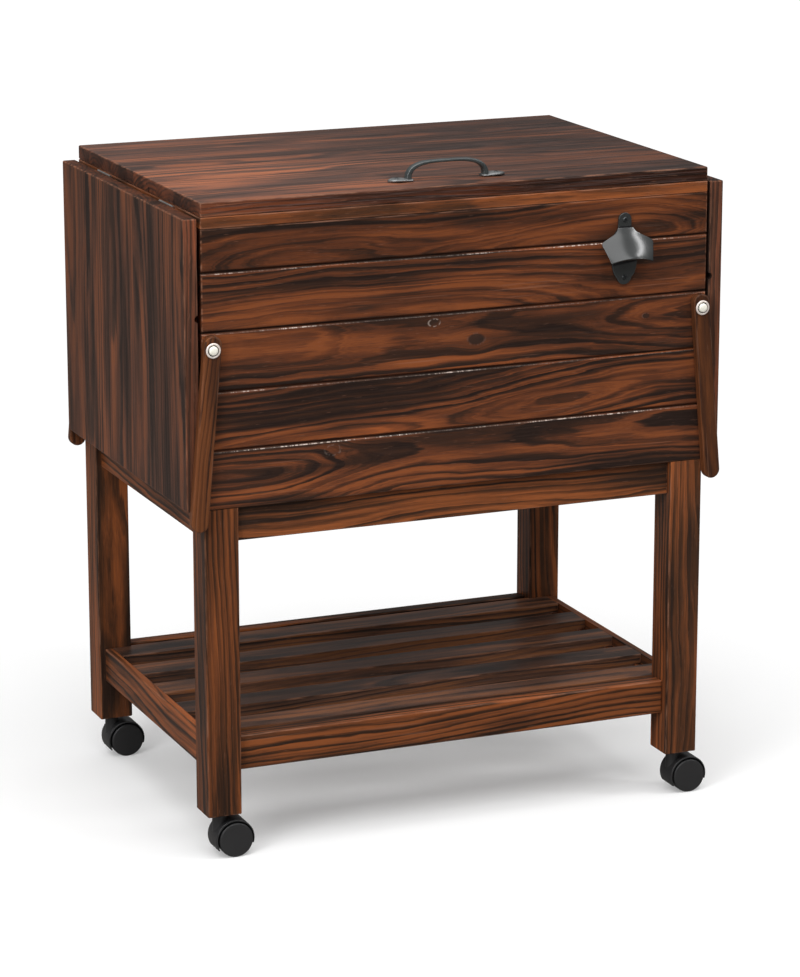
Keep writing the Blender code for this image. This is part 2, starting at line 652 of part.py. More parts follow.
# Butt hinges
def hinge_half(name, length, height, thick, knuckle, pin, offset, outer):
    """Make half of a butt hinge about Y, its flap hanging below and offset to the side that it is fixed on.

    The outer half has the two end knuckles and the pin, the other one the middle knuckle with its bore.
    """
    third = length / 6
    foot = -knuckle - 2 * PIN_CLEAR
    half = length / 2
    if outer:
        tabs = ((half - GAP, -height), (half - GAP, 0), (third + GAP, 0), (third + GAP, foot),
                (-third - GAP, foot), (-third - GAP, 0), (GAP - half, 0), (GAP - half, -height))
    else:
        tabs = ((half, -height), (half, foot), (third - 2 * GAP, foot), (third - 2 * GAP, 0),
                (2 * GAP - third, 0), (2 * GAP - third, foot), (-half, foot), (-half, -height))
    middle = offset - math.copysign(GAP + thick / 2, offset)
    flap = plate(name, tabs, thick, (middle, 0, 0), "X")
    flap.data.transform(Matrix.Translation(flap.location))
    flap.location = (0, 0, 0)
    if outer:
        reach = third / 2 + half / 2
        ends = [rod("knuckle", (0, side * reach, 0), knuckle, half - third, "Y", KNUCKLE_SIDES) for side in (-1, 1)]
        fuse(flap, *ends, rod("pin", (0, 0, 0), pin, length - third, "Y", KNUCKLE_SIDES))
    else:
        fuse(flap, rod("knuckle", (0, 0, 0), knuckle, 2 * (third - GAP), "Y", KNUCKLE_SIDES))
        fuse(flap, rod("bore", (0, 0, 0), pin + PIN_CLEAR, length, "Y", KNUCKLE_SIDES), operation="DIFFERENCE")
    return flap


def place_half(half, turn, place):
    """Turn a hinge half and put its axis in place."""
    half.data.transform(turn)
    half.location = place
    return half


# The lid and what rides on it
def pull_outline(side):
    """Give the outline of one foot of the pull, pointed at its tip."""
    tip = side * PULL_SPAN / 2
    upper = [(tip - side * along * PULL_FOOT_LENGTH, across * PULL_FOOT_WIDTH / 2) for along, across in FOOT_SHARES]
    lower = [(along, -across) for along, across in reversed(upper)]
    return upper + lower


def make_pull():
    """Make the iron pull: an arched strap on two leaf-shaped feet."""
    foot_top = LID_TOP + GAP + PULL_FOOT_THICK
    foot_middle = LID_TOP + GAP + PULL_FOOT_THICK / 2
    feet = [plate("foot", pull_outline(side), PULL_FOOT_THICK, (0, PULL_Y, foot_middle), "Z", PULL_EASE)
            for side in (-1, 1)]
    half_span = PULL_SPAN / 2 - PULL_FOOT_LENGTH + PULL_HEEL
    rise = LID_TOP + PULL_RISE - PULL_THICK / 2 - foot_middle
    curve = bpy.data.curves.new("strap", "CURVE")
    curve.dimensions = "3D"
    curve.bevel_depth = PULL_THICK / 2
    curve.bevel_resolution = 2
    curve.use_fill_caps = True
    spline = curve.splines.new("POLY")
    spline.points.add(ARCH_STEPS)
    flat_power, steep_power = PULL_ARCH_POWERS
    for step, dot in enumerate(spline.points):
        turn = math.pi * step / ARCH_STEPS
        across = math.copysign(abs(math.cos(turn)) ** (2 / flat_power), math.cos(turn))
        dot.co = (half_span * across, 0, rise * abs(math.sin(turn)) ** (2 / steep_power), 1)
    guide = bpy.data.objects.new("strap", curve)
    CUTTERS.objects.link(guide)
    shape = solid_mesh(guide)
    bpy.data.objects.remove(guide)
    bmesh.ops.scale(shape, vec=(1, PULL_WIDTH / PULL_THICK, 1), verts=shape.verts)
    strap = as_object("strap", shape, (0, PULL_Y, foot_middle))
    fuse(strap, *feet)
    holes = [rod("hole", (side * (PULL_SPAN / 2 - PULL_SCREW_INSET), PULL_Y, foot_top), PULL_SCREW_HOLE,
                 2 * (PULL_FOOT_THICK + GAP), "Z", KNUCKLE_SIDES) for side in (-1, 1)]
    return fuse(strap, *holes, operation="DIFFERENCE")


def add_lid():
    """Add the lid with its liner, its pull and its two hinges."""
    axis = make_axis("axis_lid", (0, LID_HINGE_Y, LID_BOTTOM), BODY)
    lid = block("lid", (-HALF_WIDTH, -HALF_DEPTH, LID_BOTTOM), (HALF_WIDTH, HALF_DEPTH, LID_TOP), EASE, 2)
    seams = groove("lid_seams", (0, PLANK_PITCH - HALF_DEPTH, LID_BOTTOM), BOX_WIDTH + OVERRUN, "X")
    repeat(seams, PLANKS - 1, (0, PLANK_PITCH, 0))
    cut(lid, seams)
    finish(lid, "lid", WOOD, axis)
    half_x = TUB_X - TUB_WALL - LINER_CLEAR
    half_y = TUB_Y - TUB_WALL - LINER_CLEAR
    liner = tub_form("liner", half_x, half_y, LID_BOTTOM - GAP - LINER_THICK, LID_BOTTOM - GAP, TUB_CORNER - TUB_WALL)
    finish(liner, "lid_liner", PLASTIC, axis, smooth=True)
    finish(make_pull(), "lid_pull", IRON, axis, smooth=True)
    offset = -GAP - LID_KNUCKLE
    quarter = Matrix.Rotation(math.pi / 2, 4, "Z")
    over = quarter @ Matrix.Rotation(math.pi, 4, "Y")
    for x_side in (-1, 1):
        place = (x_side * LID_HINGE_SPREAD, LID_HINGE_Y, LID_BOTTOM)
        fixed = hinge_half("half", LID_HINGE_LENGTH, LID_HINGE_HEIGHT, LID_FLAP, LID_KNUCKLE, LID_PIN, offset, True)
        finish(place_half(fixed, quarter, place), f"lid_hinge_{side_name(x_side)}_box_half", STEEL)
        moving = hinge_half("half", LID_HINGE_LENGTH, LID_HINGE_HEIGHT, LID_FLAP, LID_KNUCKLE, LID_PIN, -offset, False)
        finish(place_half(moving, over, place), f"lid_hinge_{side_name(x_side)}_lid_half", STEEL, axis)


# The drop leaves
def add_leaf(x_side):
    """Add a drop leaf with its V joints inside, the arms' notches and its two hinges."""
    side = side_name(x_side)
    axis = make_axis(f"axis_leaf_{side}", (x_side * HINGE_X, 0, HINGE_Z), BODY)
    x_low, x_high = span(x_side * LEAF_INNER, x_side * (LEAF_INNER + LEAF_THICK))
    leaf = block("leaf", (x_low, -HALF_DEPTH, LEAF_TOP - LEAF_DROP), (x_high, HALF_DEPTH, LEAF_TOP), EASE, 2)
    middle = LEAF_TOP - LEAF_DROP / 2
    seams = groove(f"leaf_{side}_seams", (x_side * LEAF_INNER, PLANK_PITCH - HALF_DEPTH, middle),
                   LEAF_DROP + OVERRUN, "Z")
    repeat(seams, PLANKS - 1, (0, PLANK_PITCH, 0))
    notches = []
    for y_side in (-1, 1):
        length = PEG_LENGTH + OVERRUN
        place = (x_side * LEAF_INNER, y_side * (HALF_DEPTH + OVERRUN - length / 2), HINGE_Z - NOTCH_PLACE)
        notches.append(rod(f"leaf_{side}_notch_{end_name(y_side)}", place, NOTCH_RADIUS, length, "Y", ROD_SIDES))
    cut(leaf, seams, *notches)
    finish(leaf, f"leaf_{side}", WOOD_DARK, axis)
    offset = LEAF_GAP / 2
    turn = Matrix() if x_side > 0 else Matrix.Rotation(math.pi, 4, "Z")
    for y_side in (-1, 1):
        place = (x_side * HINGE_X, y_side * LEAF_HINGE_SPREAD, HINGE_Z)
        tag = f"leaf_hinge_{end_name(y_side)}_{side}"
        fixed = hinge_half("half", LEAF_HINGE_LENGTH, LEAF_HINGE_HEIGHT, LEAF_FLAP, LEAF_KNUCKLE, LEAF_PIN,
                           -offset, True)
        finish(place_half(fixed, turn, place), f"{tag}_box_half", STEEL)
        moving = hinge_half("half", LEAF_HINGE_LENGTH, LEAF_HINGE_HEIGHT, LEAF_FLAP, LEAF_KNUCKLE, LEAF_PIN,
                            offset, False)
        finish(place_half(moving, turn, place), f"{tag}_leaf_half", STEEL, axis)


# The swing arms
def arm_outline():
    """Give an arm's outline about its pivot: straight sides and two round ends."""
    radius = ARM_WIDTH / 2
    dots = []
    for step in range(ROUND_STEPS + 1):
        turn = math.pi * step / ROUND_STEPS
        dots.append((radius * math.cos(turn), ARM_HEEL - radius + radius * math.sin(turn)))
    for step in range(ROUND_STEPS + 1):
        turn = math.pi * step / ROUND_STEPS
        dots.append((-radius * math.cos(turn), radius - ARM_REACH - radius * math.sin(turn)))
    return dots


def add_arm(x_side, y_side):
    """Add a swing arm with its peg, hung a little outward on its bolt."""
    middle = y_side * (ARM_INNER + ARM_THICK / 2)
    place = Vector((x_side * PIVOT_X, middle, PIVOT_Z))
    arm = plate("arm", arm_outline(), ARM_THICK, place, "Y", EASE, 2)
    peg_middle = place + Vector((0, -y_side * (PEG_LENGTH / 2 + ARM_THICK / 4), -PEG_REACH))
    fuse(arm, rod("peg", peg_middle, PEG_RADIUS, PEG_LENGTH + ARM_THICK / 2, "Y", ROD_SIDES))
    fuse(arm, rod("bore", place, BOLT_RADIUS + BOLT_CLEAR, ARM_THICK + OVERRUN, "Y"), operation="DIFFERENCE")
    arm.rotation_euler.y = -x_side * ARM_TILT
    finish(arm, f"arm_{end_name(y_side)}_{side_name(x_side)}", WOOD_DARK)
    dome = [(BOLT_HEAD * math.sin(turn), WASHER_THICK + BOLT_DOME * math.cos(turn))
            for turn in (math.pi / 2 * step / CORNER_STEPS for step in range(CORNER_STEPS + 1))]
    profile = dome + [(WASHER_RADIUS, WASHER_THICK), (WASHER_RADIUS, 0), (BOLT_RADIUS, 0),
                      (BOLT_RADIUS, -BOLT_GRIP), (0, -BOLT_GRIP)]
    bolt = turned("bolt", profile, (x_side * PIVOT_X, y_side * BOLT_SEAT, PIVOT_Z), "Y", ROD_SIDES)
    if y_side < 0:
        bolt.data.transform(Matrix.Rotation(math.pi, 4, "Z"))
    finish(bolt, f"pivot_bolt_{end_name(y_side)}_{side_name(x_side)}", BOLT, smooth=True)


# The bottle opener
def share_at(table, share, column):
    """Read a column of a table of shares at a place between its rows."""
    for before, after in zip(table, table[1:]):
        if share <= after[0]:
            blend = (share - before[0]) / (after[0] - before[0])
            return before[column] + blend * (after[column] - before[column])
    return table[-1][column]


def make_hood():
    """Make the opener's hood: a bowed sheet that flares from the tab down and out to an arched rim."""
    top = OPENER_TOP - HOOD_START
    shape = bmesh.new()
    rows = []
    for row in range(HOOD_ROWS + 1):
        share = row / HOOD_ROWS
        half = share_at(HOOD_SHARES, share, 1) * HOOD_WIDTH / 2
        reach = share_at(HOOD_SHARES, share, 2) * HOOD_REACH
        edge_reach = share_at(HOOD_SHARES, share, 3) * HOOD_REACH
        line = []
        for column in range(HOOD_COLUMNS + 1):
            across = 2 * column / HOOD_COLUMNS - 1
            out = edge_reach + (reach - edge_reach) * (1 - across ** 2)
            height = top - HOOD_DROP * (share - HOOD_ARCH_SHARE * share ** 4 * (1 - across ** 2))
            line.append(shape.verts.new((OPENER_X + half * across, -HALF_DEPTH - out, height)))
        rows.append(line)
    for upper, lower in zip(rows, rows[1:]):
        for column in range(HOOD_COLUMNS):
            shape.faces.new((upper[column], upper[column + 1], lower[column + 1], lower[column]))
    hood = as_object("hood", shape)
    if sum(face.normal.y for face in hood.data.polygons) > 0:
        hood.data.flip_normals()
    shell = hood.modifiers.new("wall", "SOLIDIFY")
    shell.thickness = HOOD_WALL
    shell.offset = -1
    return hood


def add_opener():
    """Add the bottle opener: a shaped plate, the hood over it and the lip that lifts the cap."""
    tab = OPENER_TAB / 2
    outline = [(tab * math.cos(turn), -tab + tab * math.sin(turn))
               for turn in (math.pi * step / ROUND_STEPS for step in range(ROUND_STEPS + 1))]
    outline += [(-share * OPENER_WIDTH / 2, -drop * OPENER_HEIGHT) for drop, share in PLATE_SHARES]
    foot = OPENER_FOOT / 2
    outline += [(-foot * math.cos(turn), foot - OPENER_HEIGHT - foot * math.sin(turn))
                for turn in (math.pi * (step + 1) / (ROUND_STEPS + 2) for step in range(ROUND_STEPS + 1))]
    outline += [(share * OPENER_WIDTH / 2, -drop * OPENER_HEIGHT) for drop, share in reversed(PLATE_SHARES)]
    face = -HALF_DEPTH - GAP
    base = plate("base", outline, OPENER_PLATE, (OPENER_X, face - OPENER_PLATE / 2, OPENER_TOP), "Y")
    lip_top = OPENER_TOP - HOOD_START - HOOD_DROP / 2
    lip = block("lip", (OPENER_X - HOOD_LIP_WIDTH / 2, face - OPENER_PLATE - HOOD_LIP_REACH, lip_top - HOOD_LIP_THICK),
                (OPENER_X + HOOD_LIP_WIDTH / 2, face - OPENER_PLATE / 2, lip_top), SMALL_EASE)
    fuse(base, make_hood(), lip)
    holes = [rod("hole", (OPENER_X, face - OPENER_PLATE / 2, height), OPENER_HOLE, OPENER_PLATE + OVERRUN, "Y",
                 KNUCKLE_SIDES)
             for height in (OPENER_TOP - OPENER_HOLE_INSET, OPENER_TOP - OPENER_HEIGHT + OPENER_HOLE_INSET)]
    fuse(base, *holes, operation="DIFFERENCE")
    finish(base, "bottle_opener", GUNMETAL, smooth=True)


# The casters
def tangent_turn(across, height, radius, side):
    """Give the angle at which a line from a point touches a circle about the origin."""
    return math.atan2(height, across) + side * math.acos(radius / math.hypot(across, height))


def hood_outline():
    """Give the caster hood's outline about its axle: a round cheek drawn up to the neck."""
    low_turn = math.asin((WHEEL_RADIUS - CASTER_LIFT) / CASTER_RADIUS)
    neck_height = CASTER_HEIGHT - GAP - WHEEL_RADIUS
    neck_right = CASTER_NECK / 2 - CASTER_TRAIL
    neck_left = -CASTER_NECK / 2 - CASTER_TRAIL
    first = tangent_turn(neck_right, neck_height, CASTER_RADIUS, -1)
    second = tangent_turn(neck_left, neck_height, CASTER_RADIUS, 1)
    dots = []
    for start, end in ((-low_turn, first), (second, math.pi + low_turn)):
        for step in range(ROUND_STEPS + 1):
            turn = start + (end - start) * step / ROUND_STEPS
            dots.append((CASTER_RADIUS * math.cos(turn), CASTER_RADIUS * math.sin(turn)))
        if start < 0:
            dots += [(neck_right, neck_height), (neck_left, neck_height)]
    return dots


def add_caster(x_side, y_side):
    """Add a twin-wheel caster: a hood that swivels on its stem and a pair of wheels on one axle."""
    tag = f"{end_name(y_side)}_{side_name(x_side)}"
    swivel = make_axis(f"axis_caster_{tag}", (x_side * LEG_X, y_side * LEG_Y, CASTER_HEIGHT), BODY)
    centre = Vector((x_side * LEG_X + CASTER_TRAIL, y_side * LEG_Y, WHEEL_RADIUS))
    hood = plate("hood", hood_outline(), CASTER_WIDTH, centre, "Y", CASTER_EASE)
    stem_low = CASTER_HEIGHT - CASTER_WALL - CASTER_WELL_CLEAR
    stem_high = CASTER_HEIGHT + STEM_LENGTH - GAP
    stem = rod("stem", (x_side * LEG_X, y_side * LEG_Y, (stem_low + stem_high) / 2), STEM_RADIUS,
               stem_high - stem_low, "Z")
    fuse(hood, stem)
    well_depth = CASTER_WIDTH / 2 - CASTER_WEB / 2 + OVERRUN
    wells = [rod("well", centre + Vector((0, side * (CASTER_WEB / 2 + well_depth / 2), 0)),
                 WHEEL_RADIUS + CASTER_WELL_CLEAR, well_depth, "Y", 2 * ROD_SIDES) for side in (-1, 1)]
    bore = rod("bore", centre, AXLE_RADIUS + AXLE_CLEAR, CASTER_WIDTH, "Y")
    fuse(hood, *wells, bore, operation="DIFFERENCE")
    finish(hood, f"caster_hood_{tag}", BLACK, swivel, smooth=True)
    rim = WHEEL_RADIUS / math.cos(math.pi / WHEEL_SIDES)
    half = WHEEL_SPREAD / 2
    inner = half - WHEEL_THICK
    outside = [(0, half - WHEEL_DISH), (rim - 2 * WHEEL_RIM, half - WHEEL_DISH), (rim - 1.5 * WHEEL_RIM, half),
               (rim - WHEEL_DISH, half), (rim, half - WHEEL_DISH), (rim, inner + WHEEL_DISH),
               (rim - WHEEL_DISH, inner), (AXLE_RADIUS, inner)]
    profile = outside + [(radius, -height) for radius, height in reversed(outside)]
    wheels = turned("wheels", profile, centre, "Y", WHEEL_SIDES)
    finish(wheels, f"caster_wheels_{tag}", BLACK, swivel, smooth=True)


def main():
    """Build the cooler."""
    add_legs()
    add_aprons()
    add_walls()
    add_top_frame()
    add_bottom_board()
    add_insulation()
    add_tub()
    add_shelf()
    add_lid()
    for x_side in (-1, 1):
        add_leaf(x_side)
        for y_side in (-1, 1):
            add_arm(x_side, y_side)
            add_caster(x_side, y_side)
    add_opener()


main()
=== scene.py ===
"""Dress the rolling patio cooler: stained timber, iron pull, bottle opener, casters, tub and studio.

Lengths are metres in the cooler's own frame: +Z up, the front facing -Y, the floor at zero.
"""

import logging
import math
from dataclasses import dataclass
from enum import Enum
from functools import partial
from typing import Callable, Optional, Sequence, Union

import bmesh
import bpy
from mathutils import Matrix, Vector


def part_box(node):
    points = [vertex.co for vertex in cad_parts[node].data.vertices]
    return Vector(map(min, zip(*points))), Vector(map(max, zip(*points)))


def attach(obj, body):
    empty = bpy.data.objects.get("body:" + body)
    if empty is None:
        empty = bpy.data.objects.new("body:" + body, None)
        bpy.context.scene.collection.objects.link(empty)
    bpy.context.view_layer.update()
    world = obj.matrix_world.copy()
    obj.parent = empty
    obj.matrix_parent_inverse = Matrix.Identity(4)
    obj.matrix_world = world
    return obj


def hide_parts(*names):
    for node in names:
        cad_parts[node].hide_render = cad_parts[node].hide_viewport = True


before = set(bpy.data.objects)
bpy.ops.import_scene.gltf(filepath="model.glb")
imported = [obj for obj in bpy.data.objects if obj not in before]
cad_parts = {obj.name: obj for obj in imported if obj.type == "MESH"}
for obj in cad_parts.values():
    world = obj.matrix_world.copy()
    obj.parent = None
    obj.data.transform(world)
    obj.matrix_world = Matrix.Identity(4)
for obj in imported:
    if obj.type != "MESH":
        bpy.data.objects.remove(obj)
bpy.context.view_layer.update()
LOG = logging.getLogger("cooler")

Socket = bpy.types.NodeSocket
Feed = Union[Socket, float, Sequence[float], None]
Colour = tuple[float, float, float]
Corner = tuple[float, float, float]

MIDDLE_Y = 0.006
HALF_WIDTH = 0.305
HALF_DEPTH = 0.211
FRONT_FACE = MIDDLE_Y - HALF_DEPTH
REAR_FACE = MIDDLE_Y + HALF_DEPTH
LID_TOP = 0.748
PIVOT_X = 0.296
PIVOT_HEIGHT = 0.588
GAP = 0.0003
ENDS = {"front": -1, "rear": 1}
SIDES = {"left": -1, "right": 1}
UPRIGHT = Matrix.Rotation(math.pi / 2, 4, "X")


class Axis(Enum):
    """The axis that a grain or a face follows."""

    X = 0
    Y = 1
    Z = 2


@dataclass(frozen=True)
class Streak:
    """A layer of streaks: how fine it is along and across the grain, its octaves and its roughness."""

    along: float
    across: float
    detail: float = 2.0
    rough: float = 0.5


WOBBLE = Streak(6.0, 24.0)
RIPPLE = Streak(26.0, 150.0)
FIBRE = Streak(18.0, 900.0, 2.0, 0.6)
FIGURE = Streak(5.0, 260.0, 2.0, 0.6)
PORE = Streak(75.0, 1700.0, 1.0)
FLECK = Streak(60.0, 700.0, 1.0)
BROAD = Streak(2.6, 19.0)
SHADE = Streak(3.6, 42.0, 3.0)
THREAD = Streak(7.0, 330.0, 2.0, 0.55)
RUB = Streak(34.0, 210.0, 3.0)


# ---------------------------------------------------------------- node wiring
class Wiring:
    """Adds and links the nodes of one tree."""

    def __init__(self, tree: bpy.types.NodeTree) -> None:
        """Keep the tree to build in."""
        self.tree = tree

    def add(self, kind: str, feeds: Optional[dict[Union[str, int], Feed]] = None,
            **settings: object) -> bpy.types.Node:
        """Add a node.

        Args:
            kind: the node's type name.
            feeds: what its inputs get, by their names or numbers.
            settings: properties to set on it.

        Returns:
            The new node.
        """
        node = self.tree.nodes.new(kind)
        for name, value in settings.items():
            setattr(node, name, value)
        for key, value in (feeds or {}).items():
            self.feed(node.inputs[key], value)
        return node

    def feed(self, socket: Socket, value: Feed) -> None:
        """Link a socket to another, or give it a constant.

        Args:
            socket: the input to feed.
            value: a socket, a number, a colour or a material; None leaves it as it is.
        """
        if isinstance(value, bpy.types.NodeSocket):
            self.tree.links.new(value, socket)
        elif value is not None:
            socket.default_value = value

    def calc(self, operation: str, *numbers: Feed) -> Socket:
        """Work out a sum on up to three numbers, by the Math node's operation."""
        return self.add("ShaderNodeMath", dict(enumerate(numbers)), operation=operation).outputs[0]

    def times(self, first: Feed, second: Feed) -> Socket:
        """Multiply two numbers."""
        return self.calc("MULTIPLY", first, second)

    def plus(self, first: Feed, second: Feed) -> Socket:
        """Add two numbers."""
        return self.calc("ADD", first, second)

    def minus(self, first: Feed, second: Feed) -> Socket:
        """Take the second number from the first."""
        return self.calc("SUBTRACT", first, second)

    def join(self, x: Feed, y: Feed, z: Feed) -> Socket:
        """Join three numbers into a place."""
        return self.add("ShaderNodeCombineXYZ", {0: x, 1: y, 2: z}).outputs[0]

    def split(self, place: Socket) -> tuple[Socket, Socket, Socket]:
        """Split a place into its three numbers."""
        return tuple(self.add("ShaderNodeSeparateXYZ", {0: place}).outputs)

    def here(self) -> Socket:
        """Give the object coordinates of the shaded point."""
        return self.add("ShaderNodeTexCoord").outputs["Object"]

    def noise(self, place: Feed, scale: float = 1.0, detail: float = 2.0, rough: float = 0.5) -> Socket:
        """Read smooth noise.

        Args:
            place: where to read it.
            scale: how fine it is.
            detail: how many octaves it has.
            rough: how strong the finer octaves are.

        Returns:
            The noise, about 0.5 on average.
        """
        feeds = {"Vector": place, "Scale": scale, "Detail": detail, "Roughness": rough}
        return self.add("ShaderNodeTexNoise", feeds).outputs["Fac"]

    def streaks(self, place: Sequence[Socket], layer: Streak, shift: Feed = 0.0) -> Socket:
        """Read noise that is drawn out along the grain.

        Args:
            place: the places along the grain, across it and deep in it.
            layer: how fine the streaks are.
            shift: how far their depth is shifted.

        Returns:
            The noise, about 0.5 on average.
        """
        deep = self.calc("MULTIPLY_ADD", place[2], layer.across, shift)
        spot = self.join(self.times(place[0], layer.along), self.times(place[1], layer.across), deep)
        return self.noise(spot, 1.0, layer.detail, layer.rough)

    def chance(self, value: Feed) -> tuple[Socket, Socket, Socket]:
        """Give three random numbers from 0 to 1 that depend on one number."""
        return self.split(self.add("ShaderNodeTexWhiteNoise", {"W": value}, noise_dimensions="1D").outputs["Color"])

    def ease(self, value: Feed, low: Feed, high: Feed, start: float = 0.0, end: float = 1.0) -> Socket:
        """Ease a number from start to end while the value goes from low to high.

        Args:
            value: the number to read.
            low: the value that gives start.
            high: the value that gives end.
            start: the first result.
            end: the last result.

        Returns:
            The eased number.
        """
        feeds = dict(enumerate((value, low, high, start, end)))
        return self.add("ShaderNodeMapRange", feeds, interpolation_type="SMOOTHSTEP").outputs[0]

    def ramp(self, value: Feed, stops: Sequence[tuple[float, Colour]]) -> Socket:
        """Read a colour ramp.

        Args:
            value: where to read it, from 0 to 1.
            stops: the places and colours of its stops.

        Returns:
            The colour.
        """
        node = self.add("ShaderNodeValToRGB", {0: value})
        elements = node.color_ramp.elements
        while len(elements) < len(stops):
            elements.new(0.5)
        for element, (place, colour) in zip(elements, stops):
            element.position = place
            element.color = (*colour, 1)
        return node.outputs[0]

    def blend(self, share: Feed, first: Feed, second: Feed, mode: str = "MIX") -> Socket:
        """Blend two colours.

        Args:
            share: the share of the second colour.
            first: the first colour.
            second: the second colour.
            mode: the blend mode.

        Returns:
            The blended colour.
        """
        pair = [item if isinstance(item, bpy.types.NodeSocket) else (*item, 1) for item in (first, second)]
        return self.add("ShaderNodeMix", {0: share, 6: pair[0], 7: pair[1]}, data_type="RGBA",
                        blend_type=mode).outputs[2]

    def dim(self, colour: Socket, level: Socket) -> Socket:
        """Multiply a colour by a number."""
        return self.blend(1.0, colour, self.join(level, level, level), "MULTIPLY")

    def bump(self, height: Socket, strength: float, distance: float) -> Socket:
        """Turn a height into a bumped normal."""
        feeds = {"Height": height, "Strength": strength, "Distance": distance}
        return self.add("ShaderNodeBump", feeds).outputs["Normal"]


def start_material(name: str, constants: dict[str, object]) -> tuple[bpy.types.Material, Wiring, bpy.types.Node]:
    """Make a material with a Principled shader.

    Args:
        name: the material's name.
        constants: what is the same all over it, by the shader's inputs.

    Returns:
        The material, its wiring and its shader.
    """
    material = bpy.data.materials.new(name)
    material.use_nodes = True
    shader = material.node_tree.nodes["Principled BSDF"]
    for key, value in constants.items():
        shader.inputs[key].default_value = value
    return material, Wiring(material.node_tree), shader


# ---------------------------------------------------------------- timber finishes
class TimberGrain:
    """The grain of a sawn board, as one node group that all the timber shares."""

    INLETS = ("Along", "Across", "Depth", "Pitch", "Start", "Seed", "Ring", "Pith", "Wave")
    OUTLETS = ("Late", "Fibre", "Pore", "Fleck", "Board", "Broad", "Shade", "Thin")

    def __init__(self) -> None:
        """Build the group."""
        self.tree = bpy.data.node_groups.new("timber_grain", "ShaderNodeTree")
        for way, names in (("INPUT", self.INLETS), ("OUTPUT", self.OUTLETS)):
            for name in names:
                self.tree.interface.new_socket(name, in_out=way, socket_type="NodeSocketFloat")
        self.build(Wiring(self.tree))

    def build(self, wiring: Wiring) -> None:
        """Wire rings about a wandering pith, then fibres, pores and flecks.

        Args:
            wiring: the wiring of the group's tree.
        """
        calc, noise, streaks, ease = wiring.calc, wiring.noise, wiring.streaks, wiring.ease
        join, times, plus, minus = wiring.join, wiring.times, wiring.plus, wiring.minus
        inlet = wiring.add("NodeGroupInput").outputs
        along, across, depth, pitch, start, seed, ring, pith, wave = [inlet[name] for name in self.INLETS]
        offset = minus(across, start)
        board = calc("FLOOR", calc("DIVIDE", offset, pitch))
        cell = calc("MULTIPLY_ADD", board, 1.37, seed)
        first, second, third = wiring.chance(cell)
        local = minus(offset, times(plus(board, 0.5), pitch))
        run = calc("MULTIPLY_ADD", first, 4.0, along)
        within, beside = (run, local, depth), (run, across, depth)

        drift = minus(noise(join(times(run, 1.6), cell, 0.3), 1.0, 1.0), 0.5)
        rise = minus(noise(join(times(run, 2.2), cell, 7.7), 1.0, 1.0), 0.5)
        pith_across = plus(times(times(minus(second, 0.5), pitch), 1.2), times(drift, times(wave, 0.11)))
        pith_depth = plus(times(pith, plus(third, 0.35)), times(rise, times(wave, 0.09)))
        side, below = minus(local, pith_across), plus(depth, pith_depth)
        radius = calc("SQRT", plus(times(side, side), times(below, below)))
        radius = plus(radius, times(times(minus(streaks(within, WOBBLE), 0.5), wave), 0.014))
        radius = plus(radius, times(minus(streaks(within, RIPPLE), 0.5), 0.0018))

        figure = streaks(beside, FIGURE)
        phase = calc("MULTIPLY_ADD", second, 9.0, calc("DIVIDE", radius, ring))
        phase = calc("MULTIPLY_ADD", minus(figure, 0.5), 0.32, phase)
        turn, year = calc("FRACT", phase), calc("FLOOR", phase)
        strong, wide, _ = wiring.chance(calc("MULTIPLY_ADD", cell, 3.1, year))
        onset = calc("MULTIPLY_ADD", wide, 0.35, 0.18)
        late = times(ease(turn, onset, 0.88), ease(turn, 0.90, 1.0, 1.0, 0.0))
        late = times(late, calc("MULTIPLY_ADD", strong, 0.75, 0.25))
        thin = join(times(run, 4.5), calc("MULTIPLY_ADD", radius, 430.0, times(figure, 1.6)), cell)
        results = (late, streaks(beside, FIBRE), ease(streaks(beside, PORE), 0.60, 0.72),
                   ease(streaks(beside, FLECK, 9.0), 0.68, 0.76), first, streaks(beside, BROAD, cell),
                   streaks(beside, SHADE, plus(cell, 5.0)), noise(thin, 1.0, 3.0, 0.62))
        wiring.add("NodeGroupOutput", dict(zip(self.OUTLETS, results)))


@dataclass(frozen=True)
class Knot:
    """A knot in the front wall: its place, its radius, its core's darkness and the strength of the painted highlight
    on its rim.
    """

    along: float
    across: float
    radius: float
    dark: float
    rim: float


@dataclass(frozen=True)
class StainedTimber:
    """A stained softwood finish."""

    name: str
    light: Colour
    middle: Colour
    dark: Colour
    black: Colour
    # Painted sheen: a greyish film blended into the stain that stands in for the satin reflection.
    painted_sheen: Colour = (0.16, 0.09, 0.07)
    painted_sheen_share: float = 0.05
    ring: float = 0.0042
    pith: float = 0.030
    wave: float = 1.0
    # The pale colour of flecks, threads and edges; on the edges it is partly real rubbing of the stain and partly a
    # painted highlight.
    wear_and_glint: Colour = (0.30, 0.14, 0.085)
    wear_and_glint_share: float = 0.55
    roughness: float = 0.42
    gloss: float = 0.14

    def stops(self) -> list[tuple[float, Colour]]:
        """List the ramp's stops from early wood to late wood."""
        return [(0.0, self.light), (0.30, self.middle), (0.62, self.dark), (0.92, self.black)]


@dataclass(frozen=True)
class BoardPlan:
    """How a piece lies in its timber: its grain, its width's axis, its depth's axis and its boards.

    A piece without a pitch is one board. A fade or a rise gives two places and the levels that they have; the lid's
    fade and the walls' rise are painted light and shade. The painted front lighting tints the face at the low end of
    the width: painted light on the leaves, painted shade on the lid.
    """

    grain: Axis
    across: Axis
    depth: Axis
    seed: float
    pitch: Optional[float] = None
    start: Optional[float] = None
    seams: bool = False
    mitred: bool = False
    knots: tuple[Knot, ...] = ()
    fade: Optional[tuple[float, float, float, float]] = None
    rise: Optional[tuple[float, float, float, float]] = None
    edge_glow: float = 0.0
    edge_tint: Colour = (1.9, 1.45, 1.2)
    joints: tuple[float, ...] = ()


